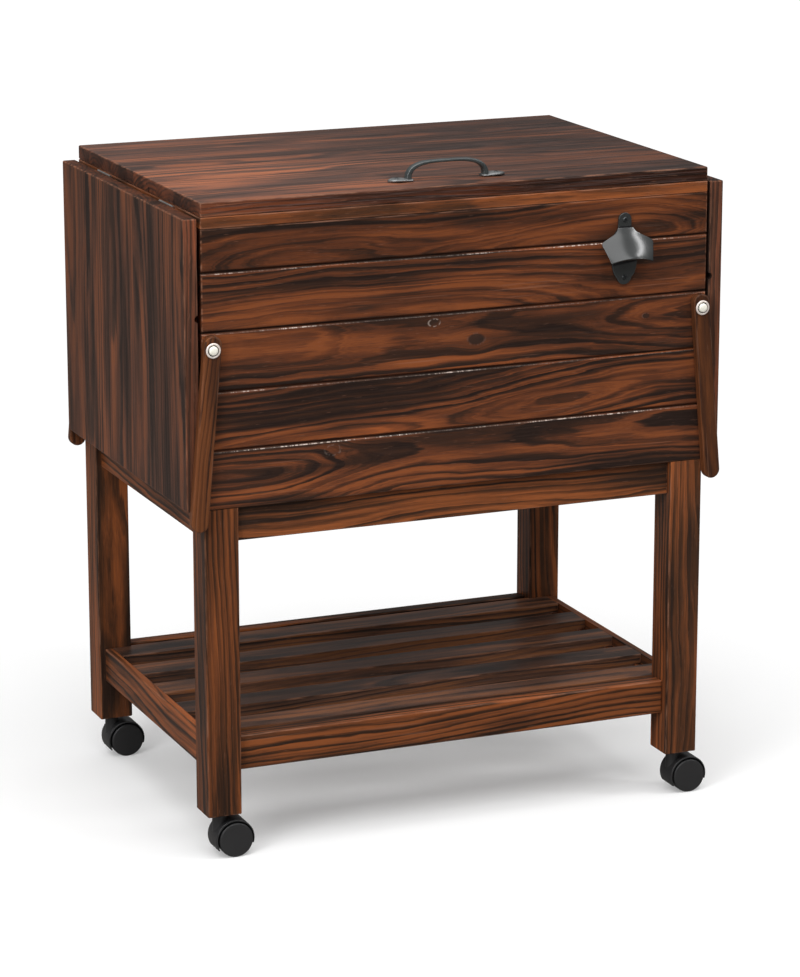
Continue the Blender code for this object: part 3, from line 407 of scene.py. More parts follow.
@dataclass
class TimberPoint:
    """A shaded point of a timber piece: its place, its place in the grain, and what the grain reads there."""

    wiring: Wiring
    finish: StainedTimber
    plan: BoardPlan
    low: Vector
    high: Vector
    place: Sequence[Socket]
    along: Socket
    level: Socket
    across: Socket
    depth: Socket
    grain: dict[str, Socket]

    def ends(self) -> Socket:
        """Find the end faces of the boards.

        Returns:
            One on an end face, zero elsewhere.
        """
        run, axis, ease = self.place[self.plan.grain.value], self.plan.grain.value, self.wiring.ease
        first, last, near, far = self.low[axis], self.high[axis], 0.0002, 0.0008
        return self.wiring.calc("MAXIMUM", ease(run, first + near, first + far, 1.0, 0.0),
                                ease(run, last - far, last - near))

    def edges(self, width: float = 0.0021) -> Socket:
        """Find how near the point lies to an edge of the piece's box.

        Args:
            width: how wide an edge is.

        Returns:
            One at an edge, falling to zero a few millimetres away.
        """
        wiring, near = self.wiring, []
        for axis, (low, high) in enumerate(zip(self.low, self.high)):
            off = wiring.calc("ABSOLUTE", wiring.minus(self.place[axis], (low + high) / 2))
            near.append(wiring.ease(wiring.minus((high - low) / 2, off), width * 0.35, width, 1.0, 0.0))
        first, second, third = [wiring.times(near[a], near[b]) for a, b in ((0, 1), (0, 2), (1, 2))]
        return wiring.calc("MAXIMUM", wiring.calc("MAXIMUM", first, second), third)


class TimberDresser:
    """Gives timber pieces their material, piece by piece."""

    MARGIN = 0.02
    SEAM_LIP = 0.0024
    GLOW_TINT = (1.70, 1.55, 1.35)
    END_TINT = (0.52, 0.46, 0.42)
    JOINT_BLACK = (0.006, 0.004, 0.003)
    KNOT_BLACK = (0.020, 0.016, 0.014)
    KNOT_RIM_GLINT = (0.42, 0.34, 0.29)
    SEAM_GLINT = (0.66, 0.54, 0.47)
    SEAM_PAINTED_SHADE = (0.010, 0.007, 0.006)
    GLOSS_TINT = (1.0, 0.84, 0.72, 1.0)

    def __init__(self) -> None:
        """Build the grain that all the timber shares."""
        self.grain = TimberGrain()

    def bend_round_knots(self, wiring: Wiring, along: Socket, across: Socket,
                         knots: Sequence[Knot]) -> tuple[Socket, Feed, Feed]:
        """Bend the grain round the knots and mark their cores.

        Args:
            wiring: the material's wiring.
            along: the place along the grain.
            across: the place across it.
            knots: the knots.

        Returns:
            The bent place across, the cores' mask and the mask of the painted highlight on the rims.
        """
        calc, times, minus, ease = wiring.calc, wiring.times, wiring.minus, wiring.ease
        bent, core, rim = across, 0.0, 0.0
        for knot in knots:
            flat, tall = times(minus(along, knot.along), 0.62), minus(across, knot.across)
            span = calc("SQRT", wiring.plus(times(flat, flat), times(tall, tall)))
            hold = ease(span, knot.radius * 0.6, knot.radius * 3.6, 0.62, 0.0)
            bent = minus(bent, times(tall, hold))
            spot = ease(span, knot.radius * 0.75, knot.radius * 1.15, knot.dark, 0.0)
            band = minus(1.0, calc("ABSOLUTE", calc("DIVIDE", minus(span, knot.radius), knot.radius * 0.22)))
            core = calc("MAXIMUM", core, spot)
            rim = calc("MAXIMUM", rim, times(calc("MAXIMUM", band, 0.0), knot.rim))
        return bent, core, rim

    def find_point(self, wiring: Wiring, finish: StainedTimber, plan: BoardPlan, low: Vector, high: Vector,
                   turn: Optional[Matrix]) -> tuple[TimberPoint, Feed, Feed]:
        """Find where the shaded point lies in its board and read the grain there.

        Args:
            wiring: the material's wiring.
            finish: the piece's finish.
            plan: how it lies in its timber.
            low: its box's lowest corner.
            high: its box's highest corner.
            turn: takes the piece's place to the frame that the plan speaks of.

        Returns:
            The point, the knots' cores and the knots' rims.
        """
        times, minus, multiply_add = wiring.times, wiring.minus, partial(wiring.calc, "MULTIPLY_ADD")
        spot, wide = wiring.here(), plan.across.value
        floor, first, width = low[plan.depth.value], low[wide], high[wide] - low[wide]
        if turn is not None:
            where, spin, _ = turn.decompose()
            spot = wiring.add("ShaderNodeMapping", {"Vector": spot, "Location": where, "Rotation": spin.to_euler()},
                              vector_type="POINT").outputs[0]
            floor, first, width = 0.0, -self.MARGIN, self.MARGIN
        place = wiring.split(spot)
        along, across = place[plan.grain.value], place[wide]
        depth = minus(place[plan.depth.value], floor)
        if plan.mitred:
            beyond = minus(wiring.calc("ABSOLUTE", place[0]), HALF_WIDTH)
            past = minus(wiring.calc("ABSOLUTE", minus(place[1], MIDDLE_Y)), HALF_DEPTH)
            side, swap = wiring.calc("GREATER_THAN", beyond, past), minus(across, along)
            along, across = multiply_add(swap, side, along), minus(across, times(swap, side))
        level, core, rim = across, 0.0, 0.0
        if plan.knots:
            across, core, rim = self.bend_round_knots(wiring, along, across, plan.knots)
        pitch, start = plan.pitch, first if plan.start is None else plan.start
        if pitch is None:
            pitch, start = max(width, self.MARGIN) + 2 * self.MARGIN, start - self.MARGIN
        values = (along, across, depth, pitch, start, plan.seed, finish.ring, finish.pith, finish.wave)
        group = wiring.add("ShaderNodeGroup", node_tree=self.grain.tree)
        for key, value in zip(TimberGrain.INLETS, values):
            wiring.feed(group.inputs[key], value)
        grain = {key: group.outputs[key] for key in TimberGrain.OUTLETS}
        return TimberPoint(wiring, finish, plan, low, high, place, along, level, across, depth, grain), core, rim

    def stain(self, point: TimberPoint) -> Socket:
        """Stain the grain, lighter and darker from board to board, and along and across the piece by the plan's fade
        and rise, which on the lid and the walls are painted light and shade.

        Args:
            point: the shaded point.

        Returns:
            The colour.
        """
        wiring, plan, grain = point.wiring, point.plan, point.grain
        plus, times, minus, ease = wiring.plus, wiring.times, wiring.minus, wiring.ease
        tone = plus(times(grain["Late"], 0.74), times(minus(grain["Fibre"], 0.5), 0.46))
        tone = plus(tone, times(minus(grain["Thin"], 0.47), 1.25))
        tone = plus(tone, ease(grain["Broad"], 0.44, 0.66, 0.0, 0.34))
        tone = plus(tone, ease(grain["Shade"], 0.40, 0.64, -0.04, 0.40))
        tone = wiring.calc("MULTIPLY_ADD", grain["Pore"], 0.16, tone)
        colour = wiring.ramp(tone, point.finish.stops())
        colour = wiring.blend(ease(grain["Broad"], 0.26, 0.44, 0.55, 0.0), colour, self.GLOW_TINT, "MULTIPLY")
        colour = wiring.dim(colour, wiring.calc("MULTIPLY_ADD", grain["Board"], 0.16, 0.90))
        # On the lid and the walls these levels are painted light and shade.
        for axis, levels in ((plan.grain, plan.fade), (plan.across, plan.rise)):
            if levels:
                colour = wiring.dim(colour, ease(point.place[axis.value], *levels))
        return colour

    def darken_ends(self, point: TimberPoint, colour: Socket) -> Socket:
        """Darken the end faces of the boards and mark the joints on them.

        Args:
            point: the shaded point.
            colour: the colour so far.

        Returns:
            The colour.
        """
        wiring, ends = point.wiring, point.ends()
        colour = wiring.blend(ends, colour, self.END_TINT, "MULTIPLY")
        for spot in point.plan.joints:
            off = wiring.calc("ABSOLUTE", wiring.minus(point.across, spot))
            mark = wiring.times(wiring.times(ends, wiring.ease(off, 0.0014, 0.0021, 1.0, 0.0)),
                                wiring.ease(point.depth, 0.0060, 0.0070, 1.0, 0.0))
            colour = wiring.blend(mark, colour, self.JOINT_BLACK)
        return colour

    def lay_sheen_and_wear(self, point: TimberPoint, colour: Socket) -> Socket:
        """Lay a painted sheen, flecks and pale threads over the stain.

        Args:
            point: the shaded point.
            colour: the colour so far.

        Returns:
            The colour.
        """
        wiring, finish, ease, times = point.wiring, point.finish, point.wiring.ease, point.wiring.times
        # Painted sheen: a greyish film along the fibres that stands in for the satin reflection.
        painted_sheen_mask = times(ease(point.grain["Fibre"], 0.45, 0.75), finish.painted_sheen_share * 2.2)
        colour = wiring.blend(painted_sheen_mask, colour, finish.painted_sheen)
        colour = wiring.blend(times(point.grain["Fleck"], 0.22), colour, finish.wear_and_glint)
        thread = wiring.streaks((point.along, point.across, point.depth), THREAD, 4.0)
        thread = times(ease(thread, 0.62, 0.72), ease(point.grain["Broad"], 0.52, 0.40))
        return wiring.blend(times(thread, 0.34), colour, finish.wear_and_glint)

    def cut_seams(self, point: TimberPoint, colour: Socket) -> Socket:
        """Draw the joints between boards: a painted glint on the lower lip, painted shade in the groove and a painted
        shadow above it.

        Args:
            point: the shaded point.
            colour: the colour so far.

        Returns:
            The colour.
        """
        wiring, plan, lip = point.wiring, point.plan, self.SEAM_LIP
        times, minus, ease, join = wiring.times, wiring.minus, wiring.ease, wiring.join
        fall = minus(plan.pitch, wiring.calc("FLOORED_MODULO", minus(point.level, plan.start), plan.pitch))
        glint = times(ease(fall, lip * 0.45, lip * 0.70), ease(fall, lip * 0.85, lip * 1.05, 1.0, 0.0))
        broken = wiring.noise(join(times(point.along, 330.0), point.level, 3.0), 1.0, 3.0, 0.75)
        slow = wiring.noise(join(times(point.along, 9.0), times(point.level, 31.0), 8.0), 1.0, 1.0)
        shown = times(ease(broken, 0.46, 0.60, 0.10, 1.0), ease(slow, 0.50, 0.66, 0.13, 1.0))
        colour = wiring.blend(times(glint, shown), colour, self.SEAM_GLINT)
        # Painted shade in the groove, then a painted shadow above the seam.
        deep = times(ease(fall, 0.0, lip * 0.45, 1.0, 0.0), 0.9)
        above = minus(plan.pitch, fall)
        shadow = times(ease(above, 0.0008, 0.0042, 1.0, 0.0), ease(slow, 0.30, 0.62, 0.25, 0.70))
        return wiring.blend(wiring.calc("MAXIMUM", deep, shadow), colour, self.SEAM_PAINTED_SHADE)

    def material(self, name: str, finish: StainedTimber, plan: BoardPlan, low: Vector, high: Vector,
                 turn: Optional[Matrix] = None, edge_name: str = "") -> bpy.types.Material:
        """Make the material of one piece.

        Args:
            name: the piece's name.
            finish: the finish to give it.
            plan: how it lies in its timber.
            low: its box's lowest corner.
            high: its box's highest corner.
            turn: takes the piece's place to the frame that the plan speaks of.
            edge_name: the attribute that holds its edges, where its box can't tell them.

        Returns:
            The material.
        """
        constants = {"Specular IOR Level": finish.gloss, "Specular Tint": self.GLOSS_TINT}
        material, wiring, shader = start_material(f"{finish.name}_{name}", constants)
        times, plus, minus, ease = wiring.times, wiring.plus, wiring.minus, wiring.ease
        point, core, rim = self.find_point(wiring, finish, plan, low, high, turn)
        grain = point.grain
        colour = self.stain(point)
        if turn is None and not plan.mitred:
            colour = self.darken_ends(point, colour)
        # Painted light and shade on the face at the low end of the width: the leaves' front edges are lightened, the
        # lid's front edge is darkened.
        if plan.edge_glow:
            first = low[plan.across.value]
            front = ease(point.place[plan.across.value], first, first + 0.0012, plan.edge_glow, 0.0)
            colour = wiring.blend(front, colour, plan.edge_tint, "MULTIPLY")
        colour = self.lay_sheen_and_wear(point, colour)
        if plan.knots:
            colour = wiring.blend(core, colour, self.KNOT_BLACK)
            # Painted highlight: a patchy pale glint round each knot's rim.
            patchy = wiring.noise(wiring.join(times(point.along, 300.0), times(point.across, 300.0), 2.0), 1.0, 1.0)
            colour = wiring.blend(times(rim, ease(patchy, 0.44, 0.58)), colour, self.KNOT_RIM_GLINT)
        if edge_name:
            edge = wiring.add("ShaderNodeAttribute", attribute_name=edge_name).outputs["Fac"]
        else:
            edge = point.edges()
        # Lightened edges: partly real rubbing of the stain, partly a painted highlight where the eased edges catch the
        # light.
        rub = wiring.streaks((point.along, point.across, point.depth), RUB)
        wear_and_glint = times(edge, times(ease(rub, 0.38, 0.66), finish.wear_and_glint_share))
        colour = wiring.blend(wear_and_glint, colour, finish.wear_and_glint)
        if plan.seams:
            colour = self.cut_seams(point, colour)
        rough = plus(times(minus(grain["Shade"], 0.5), 0.16),
                     wiring.calc("MULTIPLY_ADD", grain["Fibre"], 0.12, finish.roughness - 0.06))
        height = plus(times(grain["Late"], 0.5), times(grain["Fibre"], 0.5))
        height = minus(height, times(grain["Pore"], 0.6))
        wiring.feed(shader.inputs["Base Color"], colour)
        wiring.feed(shader.inputs["Roughness"], wiring.calc("MULTIPLY_ADD", wear_and_glint, 0.15, rough))
        wiring.feed(shader.inputs["Normal"], wiring.bump(height, 0.55, 0.00022))
        return material


WALL_TIMBER = StainedTimber("wall_timber", (0.225, 0.066, 0.022), (0.118, 0.037, 0.016), (0.040, 0.018, 0.011),
                            (0.017, 0.010, 0.008), ring=0.0074, wave=1.15)
LEG_TIMBER = StainedTimber("leg_timber", (0.295, 0.088, 0.027), (0.165, 0.052, 0.019), (0.066, 0.027, 0.013),
                           (0.024, 0.013, 0.009), ring=0.0062, pith=0.05, wave=0.6)
LID_TIMBER = StainedTimber("lid_timber", (0.245, 0.086, 0.042), (0.130, 0.054, 0.034), (0.072, 0.038, 0.028),
                           (0.044, 0.026, 0.021), painted_sheen=(0.20, 0.14, 0.13), painted_sheen_share=0.12, ring=0.0058,
                           pith=0.080, wave=0.55, roughness=0.40, gloss=0.13)
LEAF_TIMBER = StainedTimber("leaf_timber", (0.215, 0.074, 0.034), (0.112, 0.046, 0.028), (0.052, 0.028, 0.020),
                            (0.026, 0.016, 0.013), painted_sheen=(0.16, 0.11, 0.09), painted_sheen_share=0.06, ring=0.0052,
                            pith=0.110, wave=0.35, roughness=0.46, gloss=0.10)
ARM_TIMBER = StainedTimber("arm_timber", (0.150, 0.050, 0.018), (0.092, 0.032, 0.013), (0.046, 0.018, 0.010),
                           (0.024, 0.011, 0.007), painted_sheen_share=0.02, ring=0.0034, pith=0.08, wave=0.5, wear_and_glint_share=0.22)
SLAT_TIMBER = StainedTimber("slat_timber", (0.200, 0.076, 0.030), (0.105, 0.046, 0.026), (0.046, 0.025, 0.018),
                            (0.022, 0.014, 0.011), painted_sheen=(0.17, 0.12, 0.11), painted_sheen_share=0.08, ring=0.0058,
                            pith=0.06, wave=0.6, roughness=0.32, gloss=0.20)
PINE_BOARD = StainedTimber("pine_board", (0.52, 0.36, 0.20), (0.44, 0.28, 0.14), (0.33, 0.18, 0.08),
                           (0.24, 0.12, 0.05), painted_sheen=(0.6, 0.5, 0.38), wear_and_glint=(0.6, 0.46, 0.3), roughness=0.62)

FRONT_KNOTS = (Knot(-0.0322, 0.5952, 0.0042, 0.40, 0.60), Knot(0.0189, 0.5725, 0.0066, 0.80, 0.06),
               Knot(-0.1535, 0.4616, 0.0058, 0.10, 0.16), Knot(0.2297, 0.5820, 0.0030, 0.75, 0.1))
LEG_FADES = {("front", "left"): (0.06, 0.42, 0.92, 0.84), ("front", "right"): (0.06, 0.42, 1.10, 1.24),
             ("rear", "left"): (0.06, 0.42, 1.06, 1.14)}
WALL_PITCH = 0.066
WALL_START = 0.671
# Painted light and shade on the walls: lighter towards the bottom, darker towards the top.
WALL_PAINTED_LIGHT_RISE = (0.42, 0.66, 1.13, 0.90)
RAIL_FADE = (-0.3, 0.3, 0.94, 0.80)
LEAF_PITCH = 0.0844
LID_PITCH = 0.0795
LID_START = FRONT_FACE + 0.0635
# Painted light on the lid: bright on the left, falling to dark on the right.
LID_PAINTED_LIGHT_FADE = (-0.24, 0.24, 1.02, 0.42)
LID_JOINTS = (0.048, -0.036, -0.121)
# Painted shade for the lid's front edge, and below it how strongly the front edges of the lid and the leaves take
# painted light and shade.
LID_PAINTED_FRONT_SHADE = (0.50, 0.40, 0.35)
PAINTED_FRONT_LIGHTING = 0.9


def timber_plans() -> dict[str, tuple[StainedTimber, BoardPlan]]:
    """List the finish and the plan of every timber node that keeps its own mesh.

    Returns:
        Each node's finish and plan, by the node's name.
    """
    plans: dict[str, tuple[StainedTimber, BoardPlan]] = {}
    wide, deep = partial(BoardPlan, Axis.X, Axis.Z, Axis.Y), partial(BoardPlan, Axis.Y, Axis.Z, Axis.X)
    flat = partial(BoardPlan, Axis.X, Axis.Y, Axis.Z)
    for index, end in enumerate(ENDS):
        knots = FRONT_KNOTS if end == "front" else ()
        plans[f"wall_{end}"] = (WALL_TIMBER, wide(11.3 + 40 * index, WALL_PITCH, WALL_START, True, knots=knots,
                                                  rise=WALL_PAINTED_LIGHT_RISE))
        plans[f"apron_{end}"] = (LEG_TIMBER, wide(3.1 + index))
        plans[f"shelf_rail_{end}"] = (LEG_TIMBER, wide(5.3 + index, fade=RAIL_FADE))
    for index, side in enumerate(SIDES):
        plans[f"wall_{side}"] = (WALL_TIMBER, deep(91.7 + 40 * index, WALL_PITCH, WALL_START, True))
        plans[f"apron_{side}"] = (LEG_TIMBER, deep(7.9 + index))
        plans[f"shelf_rail_{side}"] = (LEG_TIMBER, deep(9.4 + index))
        plans[f"leaf_{side}"] = (LEAF_TIMBER, BoardPlan(Axis.Z, Axis.Y, Axis.X, 61.2 + 30 * index, LEAF_PITCH,
                                                        FRONT_FACE, edge_glow=PAINTED_FRONT_LIGHTING))
        for place, end in enumerate(ENDS):
            plans[f"leg_{end}_{side}"] = (LEG_TIMBER, BoardPlan(Axis.Z, Axis.X, Axis.Y, 20.5 + 3 * index + 7 * place,
                                                                fade=LEG_FADES.get((end, side))))
    plans["lid"] = (LID_TIMBER, flat(140.9, LID_PITCH, LID_START, fade=LID_PAINTED_LIGHT_FADE, edge_glow=PAINTED_FRONT_LIGHTING,
                                     edge_tint=LID_PAINTED_FRONT_SHADE, joints=LID_JOINTS))
    plans["top_frame"] = (LEG_TIMBER, flat(33.6, mitred=True))
    plans["bottom_board"] = (PINE_BOARD, flat(50.2))
    return plans


# ---------------------------------------------------------------- metal, plastic and foam finishes
@dataclass(frozen=True)
class MetalFinish:
    """A metal with a grain of its own: coated iron, dark plating, zinc or bright steel."""

    name: str
    colour: Colour
    bright: Colour
    metallic: float
    roughness: float
    spread: float = 0.12
    grain: float = 260.0
    relief: float = 0.00008
    gloss: float = 0.5

    def material(self) -> bpy.types.Material:
        """Make the material.

        Returns:
            The material.
        """
        constants = {"Metallic": self.metallic, "Specular IOR Level": self.gloss}
        material, wiring, shader = start_material(self.name, constants)
        place, ease = wiring.here(), wiring.ease
        pits = wiring.noise(place, self.grain * 6.0, 3.0, 0.6)
        rubbed = wiring.noise(place, self.grain, 4.0, 0.65)
        cloud = ease(wiring.noise(place, self.grain * 0.25, 3.0), 0.35, 0.68)
        colour = wiring.blend(cloud, self.colour, self.bright)
        colour = wiring.blend(ease(pits, 0.62, 0.78, 0.0, 0.35), colour, [0.4 * part for part in self.colour])
        rough = wiring.calc("MULTIPLY_ADD", rubbed, self.spread * 2, self.roughness - self.spread)
        wiring.feed(shader.inputs["Base Color"], colour)
        wiring.feed(shader.inputs["Roughness"], rough)
        wiring.feed(shader.inputs["Normal"], wiring.bump(pits, 0.35, self.relief))
        return material


@dataclass(frozen=True)
class PlasticFinish:
    """A moulded plastic, or rigid foam when its relief is deep."""

    name: str
    colour: Colour
    shade: Colour
    roughness: float
    grain: float = 900.0
    relief: float = 0.00004
    coat: float = 0.0

    def material(self) -> bpy.types.Material:
        """Make the material.

        Returns:
            The material.
        """
        material, wiring, shader = start_material(self.name, {"Coat Weight": self.coat})
        place, ease = wiring.here(), wiring.ease
        stipple = wiring.noise(place, self.grain, 2.0, 0.6)
        scuff = wiring.noise(place, self.grain * 0.12, 4.0, 0.7)
        pale = [min(1.0, 1.8 * part + 0.01) for part in self.colour]
        colour = wiring.blend(ease(wiring.noise(place, 14.0, 3.0), 0.3, 0.7), self.colour, self.shade)
        colour = wiring.blend(ease(scuff, 0.66, 0.80, 0.0, 0.25), colour, pale)
        wiring.feed(shader.inputs["Base Color"], colour)
        wiring.feed(shader.inputs["Roughness"], wiring.calc("MULTIPLY_ADD", scuff, 0.18, self.roughness - 0.09))
        wiring.feed(shader.inputs["Normal"], wiring.bump(stipple, 0.4, self.relief))
        return material


DARK_IRON = MetalFinish("dark_iron_coat", (0.038, 0.045, 0.045), (0.060, 0.069, 0.069), 0.25, 0.34, gloss=0.7)
# A brighter copy of the iron coat for the pull's feet: a painted reflection of the bright room.
PAINTED_SHEEN_IRON = MetalFinish("iron_coat_painted_sheen", (0.105, 0.110, 0.110), (0.220, 0.225, 0.225), 0.45, 0.30, gloss=0.9)
GUNMETAL = MetalFinish("gunmetal_plating", (0.021, 0.023, 0.023), (0.026, 0.028, 0.028), 0.0, 0.18, 0.02, 160.0,
                       0.000004, 0.55)
# Near-black painted shade for the opener's crease and mouth and for the groove round each bolt cap.
PAINTED_SHADE_BLACK = MetalFinish("painted_shade_black", (0.006, 0.006, 0.007), (0.010, 0.010, 0.011), 0.0, 0.55, gloss=0.2)
DARK_SCREW = MetalFinish("dark_screw", (0.045, 0.048, 0.050), (0.075, 0.080, 0.082), 0.9, 0.40)
ZINC = MetalFinish("zinc_plate", (0.60, 0.60, 0.59), (0.74, 0.74, 0.72), 1.0, 0.30)
SCREW_STEEL = MetalFinish("screw_steel", (0.30, 0.30, 0.31), (0.42, 0.42, 0.43), 1.0, 0.42)
BRIGHT_BOLT = MetalFinish("bright_bolt", (0.86, 0.76, 0.70), (0.95, 0.88, 0.83), 0.35, 0.30, 0.08)
BOLT_CAP = PlasticFinish("bolt_cap_enamel", (0.90, 0.87, 0.76), (0.95, 0.93, 0.83), 0.30, coat=0.4)
CASTER_BLACK = PlasticFinish("caster_black", (0.018, 0.018, 0.019), (0.024, 0.024, 0.025), 0.42)
WHEEL_BLACK = PlasticFinish("wheel_black", (0.017, 0.017, 0.018), (0.022, 0.022, 0.023), 0.46, 700.0)
TUB_WHITE = PlasticFinish("tub_white", (0.66, 0.67, 0.68), (0.72, 0.73, 0.74), 0.34, 500.0, 0.00003)
FOAM = PlasticFinish("rigid_foam", (0.80, 0.78, 0.70), (0.86, 0.84, 0.77), 0.85, 420.0, 0.0004)


# ---------------------------------------------------------------- mesh helpers
def link_object(name: str, data: Optional[bpy.types.ID]) -> bpy.types.Object:
    """Make an object of a mesh, a light or a camera and link it.

    Args:
        name: the object's name.
        data: what it holds.

    Returns:
        The object.
    """
    obj = bpy.data.objects.new(name, data)
    bpy.context.scene.collection.objects.link(obj)
    return obj


def to_object(name: str, shape: bmesh.types.BMesh, materials: Sequence[bpy.types.Material],
              flat_over: float = 0.0, angle: float = 38.0) -> bpy.types.Object:
    """Turn a bmesh into a linked object with its materials.

    Args:
        name: the object's name.
        shape: the mesh; it is freed.
        materials: its materials, in slot order.
        flat_over: faces larger than this are shaded flat, when it isn't zero.
        angle: the sharpest turn, in degrees, that is shaded smooth.

    Returns:
        The object.
    """
    mesh = bpy.data.meshes.new(name)
    large = [face.calc_area() > flat_over > 0 for face in shape.faces]
    shape.to_mesh(mesh)
    shape.free()
    mesh.shade_smooth()
    mesh.set_sharp_from_angle(angle=math.radians(angle))
    for polygon, is_large in zip(mesh.polygons, large):
        if is_large:
            polygon.use_smooth = False
    for material in materials:
        mesh.materials.append(material)
    return link_object(name, mesh)


def circle(radius: float, sides: int) -> list[tuple[float, float]]:
    """List the points of a circle."""
    turns = [2 * math.pi * k / sides for k in range(sides)]
    return [(radius * math.cos(turn), radius * math.sin(turn)) for turn in turns]


def squared_ring(sides: int, across: float, lift: float) -> list[tuple[float, float]]:
    """List the points of a circle of radius one that is squared off.

    Args:
        sides: how many points it has.
        across: the power of its points' first number; one leaves it round.
        lift: the power of their second number.

    Returns:
        The points.
    """
    return [(math.copysign(abs(x) ** across, x), math.copysign(abs(y) ** lift, y)) for x, y in circle(1.0, sides)]


def skin(shape: bmesh.types.BMesh, rings: Sequence[Sequence[bmesh.types.BMVert]],
         slot: Callable[[int], int] = lambda step: 0) -> None:
    """Skin rings of points and close the ends.

    Args:
        shape: the mesh that holds the points.
        rings: the rings, each of the same count or a single pole.
        slot: gives the material slot of the faces after a ring.
    """
    made = []
    for step, (upper, lower) in enumerate(zip(rings, rings[1:])):
        for k in range(max(len(upper), len(lower))):
            corners = (upper[k % len(upper)], lower[k % len(lower)], lower[(k + 1) % len(lower)],
                       upper[(k + 1) % len(upper)])
            face = shape.faces.new(list(dict.fromkeys(corners)))
            face.material_index = slot(step)
            made.append(face)
    made += [shape.faces.new(ring) for ring in (rings[0], rings[-1][::-1]) if len(ring) > 1]
    bmesh.ops.recalc_face_normals(shape, faces=made)


def lathe(shape: bmesh.types.BMesh, profile: Sequence[tuple[float, float]], turn: Matrix, sides: int,
          slot: Callable[[int], int] = lambda step: 0) -> None:
    """Add a turned solid to a mesh.

    Args:
        shape: the mesh to add to.
        profile: radii and heights from one pole to the other, both poles on the axis.
        turn: takes +Z and the origin to the solid's axis and place.
        sides: how many sides it has.
        slot: gives the material slot of a step of the profile.
    """
    rings = [[shape.verts.new(turn @ Vector((x, y, height))) for x, y in circle(radius, sides if radius > 0 else 1)]
             for radius, height in profile]
    skin(shape, rings, slot)


def ease_edges(shape: bmesh.types.BMesh, edges: Sequence[bmesh.types.BMEdge], radius: float, steps: int) -> None:
    """Round edges of a mesh.

    Args:
        shape: the mesh.
        edges: the edges.
        radius: how far from an edge its rounding starts.
        steps: how many segments it has.
    """
    bmesh.ops.bevel(shape, geom=edges, offset=radius, segments=steps, profile=0.5, affect="EDGES",
                    clamp_overlap=True)


def prism(shape: bmesh.types.BMesh, outline: Sequence[tuple[float, float]], thickness: float, turn: Matrix,
          ease: float, steps: int = 3) -> None:
    """Add a plate with eased edges, its outline in the plane of its own X and Y.

    Args:
        shape: the mesh to add to.
        outline: the outline's points, anticlockwise.
        thickness: how thick it is, upward along its own Z.
        turn: takes it to its place.
        ease: the radius of its eased edges.
        steps: how many segments an eased edge has.
    """
    part = bmesh.new()
    face = part.faces.new([part.verts.new((x, y, 0)) for x, y in outline])
    lifted = bmesh.ops.extrude_face_region(part, geom=[face])["geom"]
    bmesh.ops.translate(part, vec=(0, 0, thickness), verts=[v for v in lifted if isinstance(v, bmesh.types.BMVert)])
    bmesh.ops.recalc_face_normals(part, faces=part.faces)
    level = [edge for edge in part.edges if abs(edge.verts[0].co.z - edge.verts[1].co.z) < 1e-7]
    ease_edges(part, level, ease, steps)
    bmesh.ops.transform(part, matrix=turn, verts=part.verts)
    bmesh.ops.recalc_face_normals(part, faces=part.faces)
    merge(shape, part)


def merge(shape: bmesh.types.BMesh, part: bmesh.types.BMesh) -> None:
    """Move the faces of one bmesh into another and free it.

    Args:
        shape: the mesh that takes the faces.
        part: the mesh that gives them.
    """
    mesh = bpy.data.meshes.new("passing")
    part.to_mesh(mesh)
    part.free()
    shape.from_mesh(mesh)
    bpy.data.meshes.remove(mesh)


def mark_edges(shape: bmesh.types.BMesh, large: float, margin: float,
               counts: Callable[[Vector], bool] = lambda place: True) -> None:
    """Set large faces in from their edges, and mark the edges that the finish lightens, partly as real rubbing and
    partly as a painted highlight.

    Args:
        shape: the mesh.
        large: the area from which a face is large.
        margin: how far such a face is set in.
        counts: says of a point's place whether it can lie on a lightened edge.
    """
    layer = shape.verts.layers.float.new("edge")
    for face in [face for face in shape.faces if face.calc_area() > large]:
        bmesh.ops.inset_region(shape, faces=[face], thickness=margin, depth=0)
    for vert in shape.verts:
        wear_and_glint = counts(vert.co) and any(edge.calc_face_angle(0) > 0.15 for edge in vert.link_edges)
        vert[layer] = float(wear_and_glint)


def settled_mesh(obj: bpy.types.Object) -> bpy.types.Mesh:
    """Give the mesh that an object's modifiers make."""
    bpy.context.view_layer.update()
    return bpy.data.meshes.new_from_object(obj.evaluated_get(bpy.context.evaluated_depsgraph_get()))


def place_on(place: Corner, facing: Axis, sign: int = 1) -> Matrix:
    """Give the turn that takes +Z to an axis and the origin to a place.

    Args:
        place: where the origin goes.
        facing: the axis that +Z goes to.
        sign: one, or minus one to face the other way.

    Returns:
        The turn.
    """
    away = Vector([sign if axis == facing.value else 0 for axis in range(3)])
    return Matrix.Translation(place) @ away.to_track_quat("Z", "Y").to_matrix().to_4x4()


def smooth_curve(points: Sequence[Sequence[float]], share: float) -> list[float]:
    """Read a smooth curve through rows of numbers.

    Args:
        points: rows whose first number is the share at which they lie.
        share: where to read, from the first row's share to the last's.

    Returns:
        The other numbers of a row there.
    """
    last = len(points) - 1
    step = next((k for k in range(last) if share <= points[k + 1][0]), last - 1)
    before, after = points[step], points[step + 1]
    width = after[0] - before[0]
    t = min(1.0, max(0.0, (share - before[0]) / width))
    ahead, behind = points[min(step + 2, last)], points[max(step - 1, 0)]
    result = []
    for column in range(1, len(before)):
        first = (after[column] - behind[column]) / (after[0] - behind[0]) * width
        second = (ahead[column] - before[column]) / (ahead[0] - before[0]) * width
        result.append(before[column] * (2 * t ** 3 - 3 * t ** 2 + 1) + first * (t ** 3 - 2 * t ** 2 + t)
                      + after[column] * (3 * t ** 2 - 2 * t ** 3) + second * (t ** 3 - t ** 2))
    return result


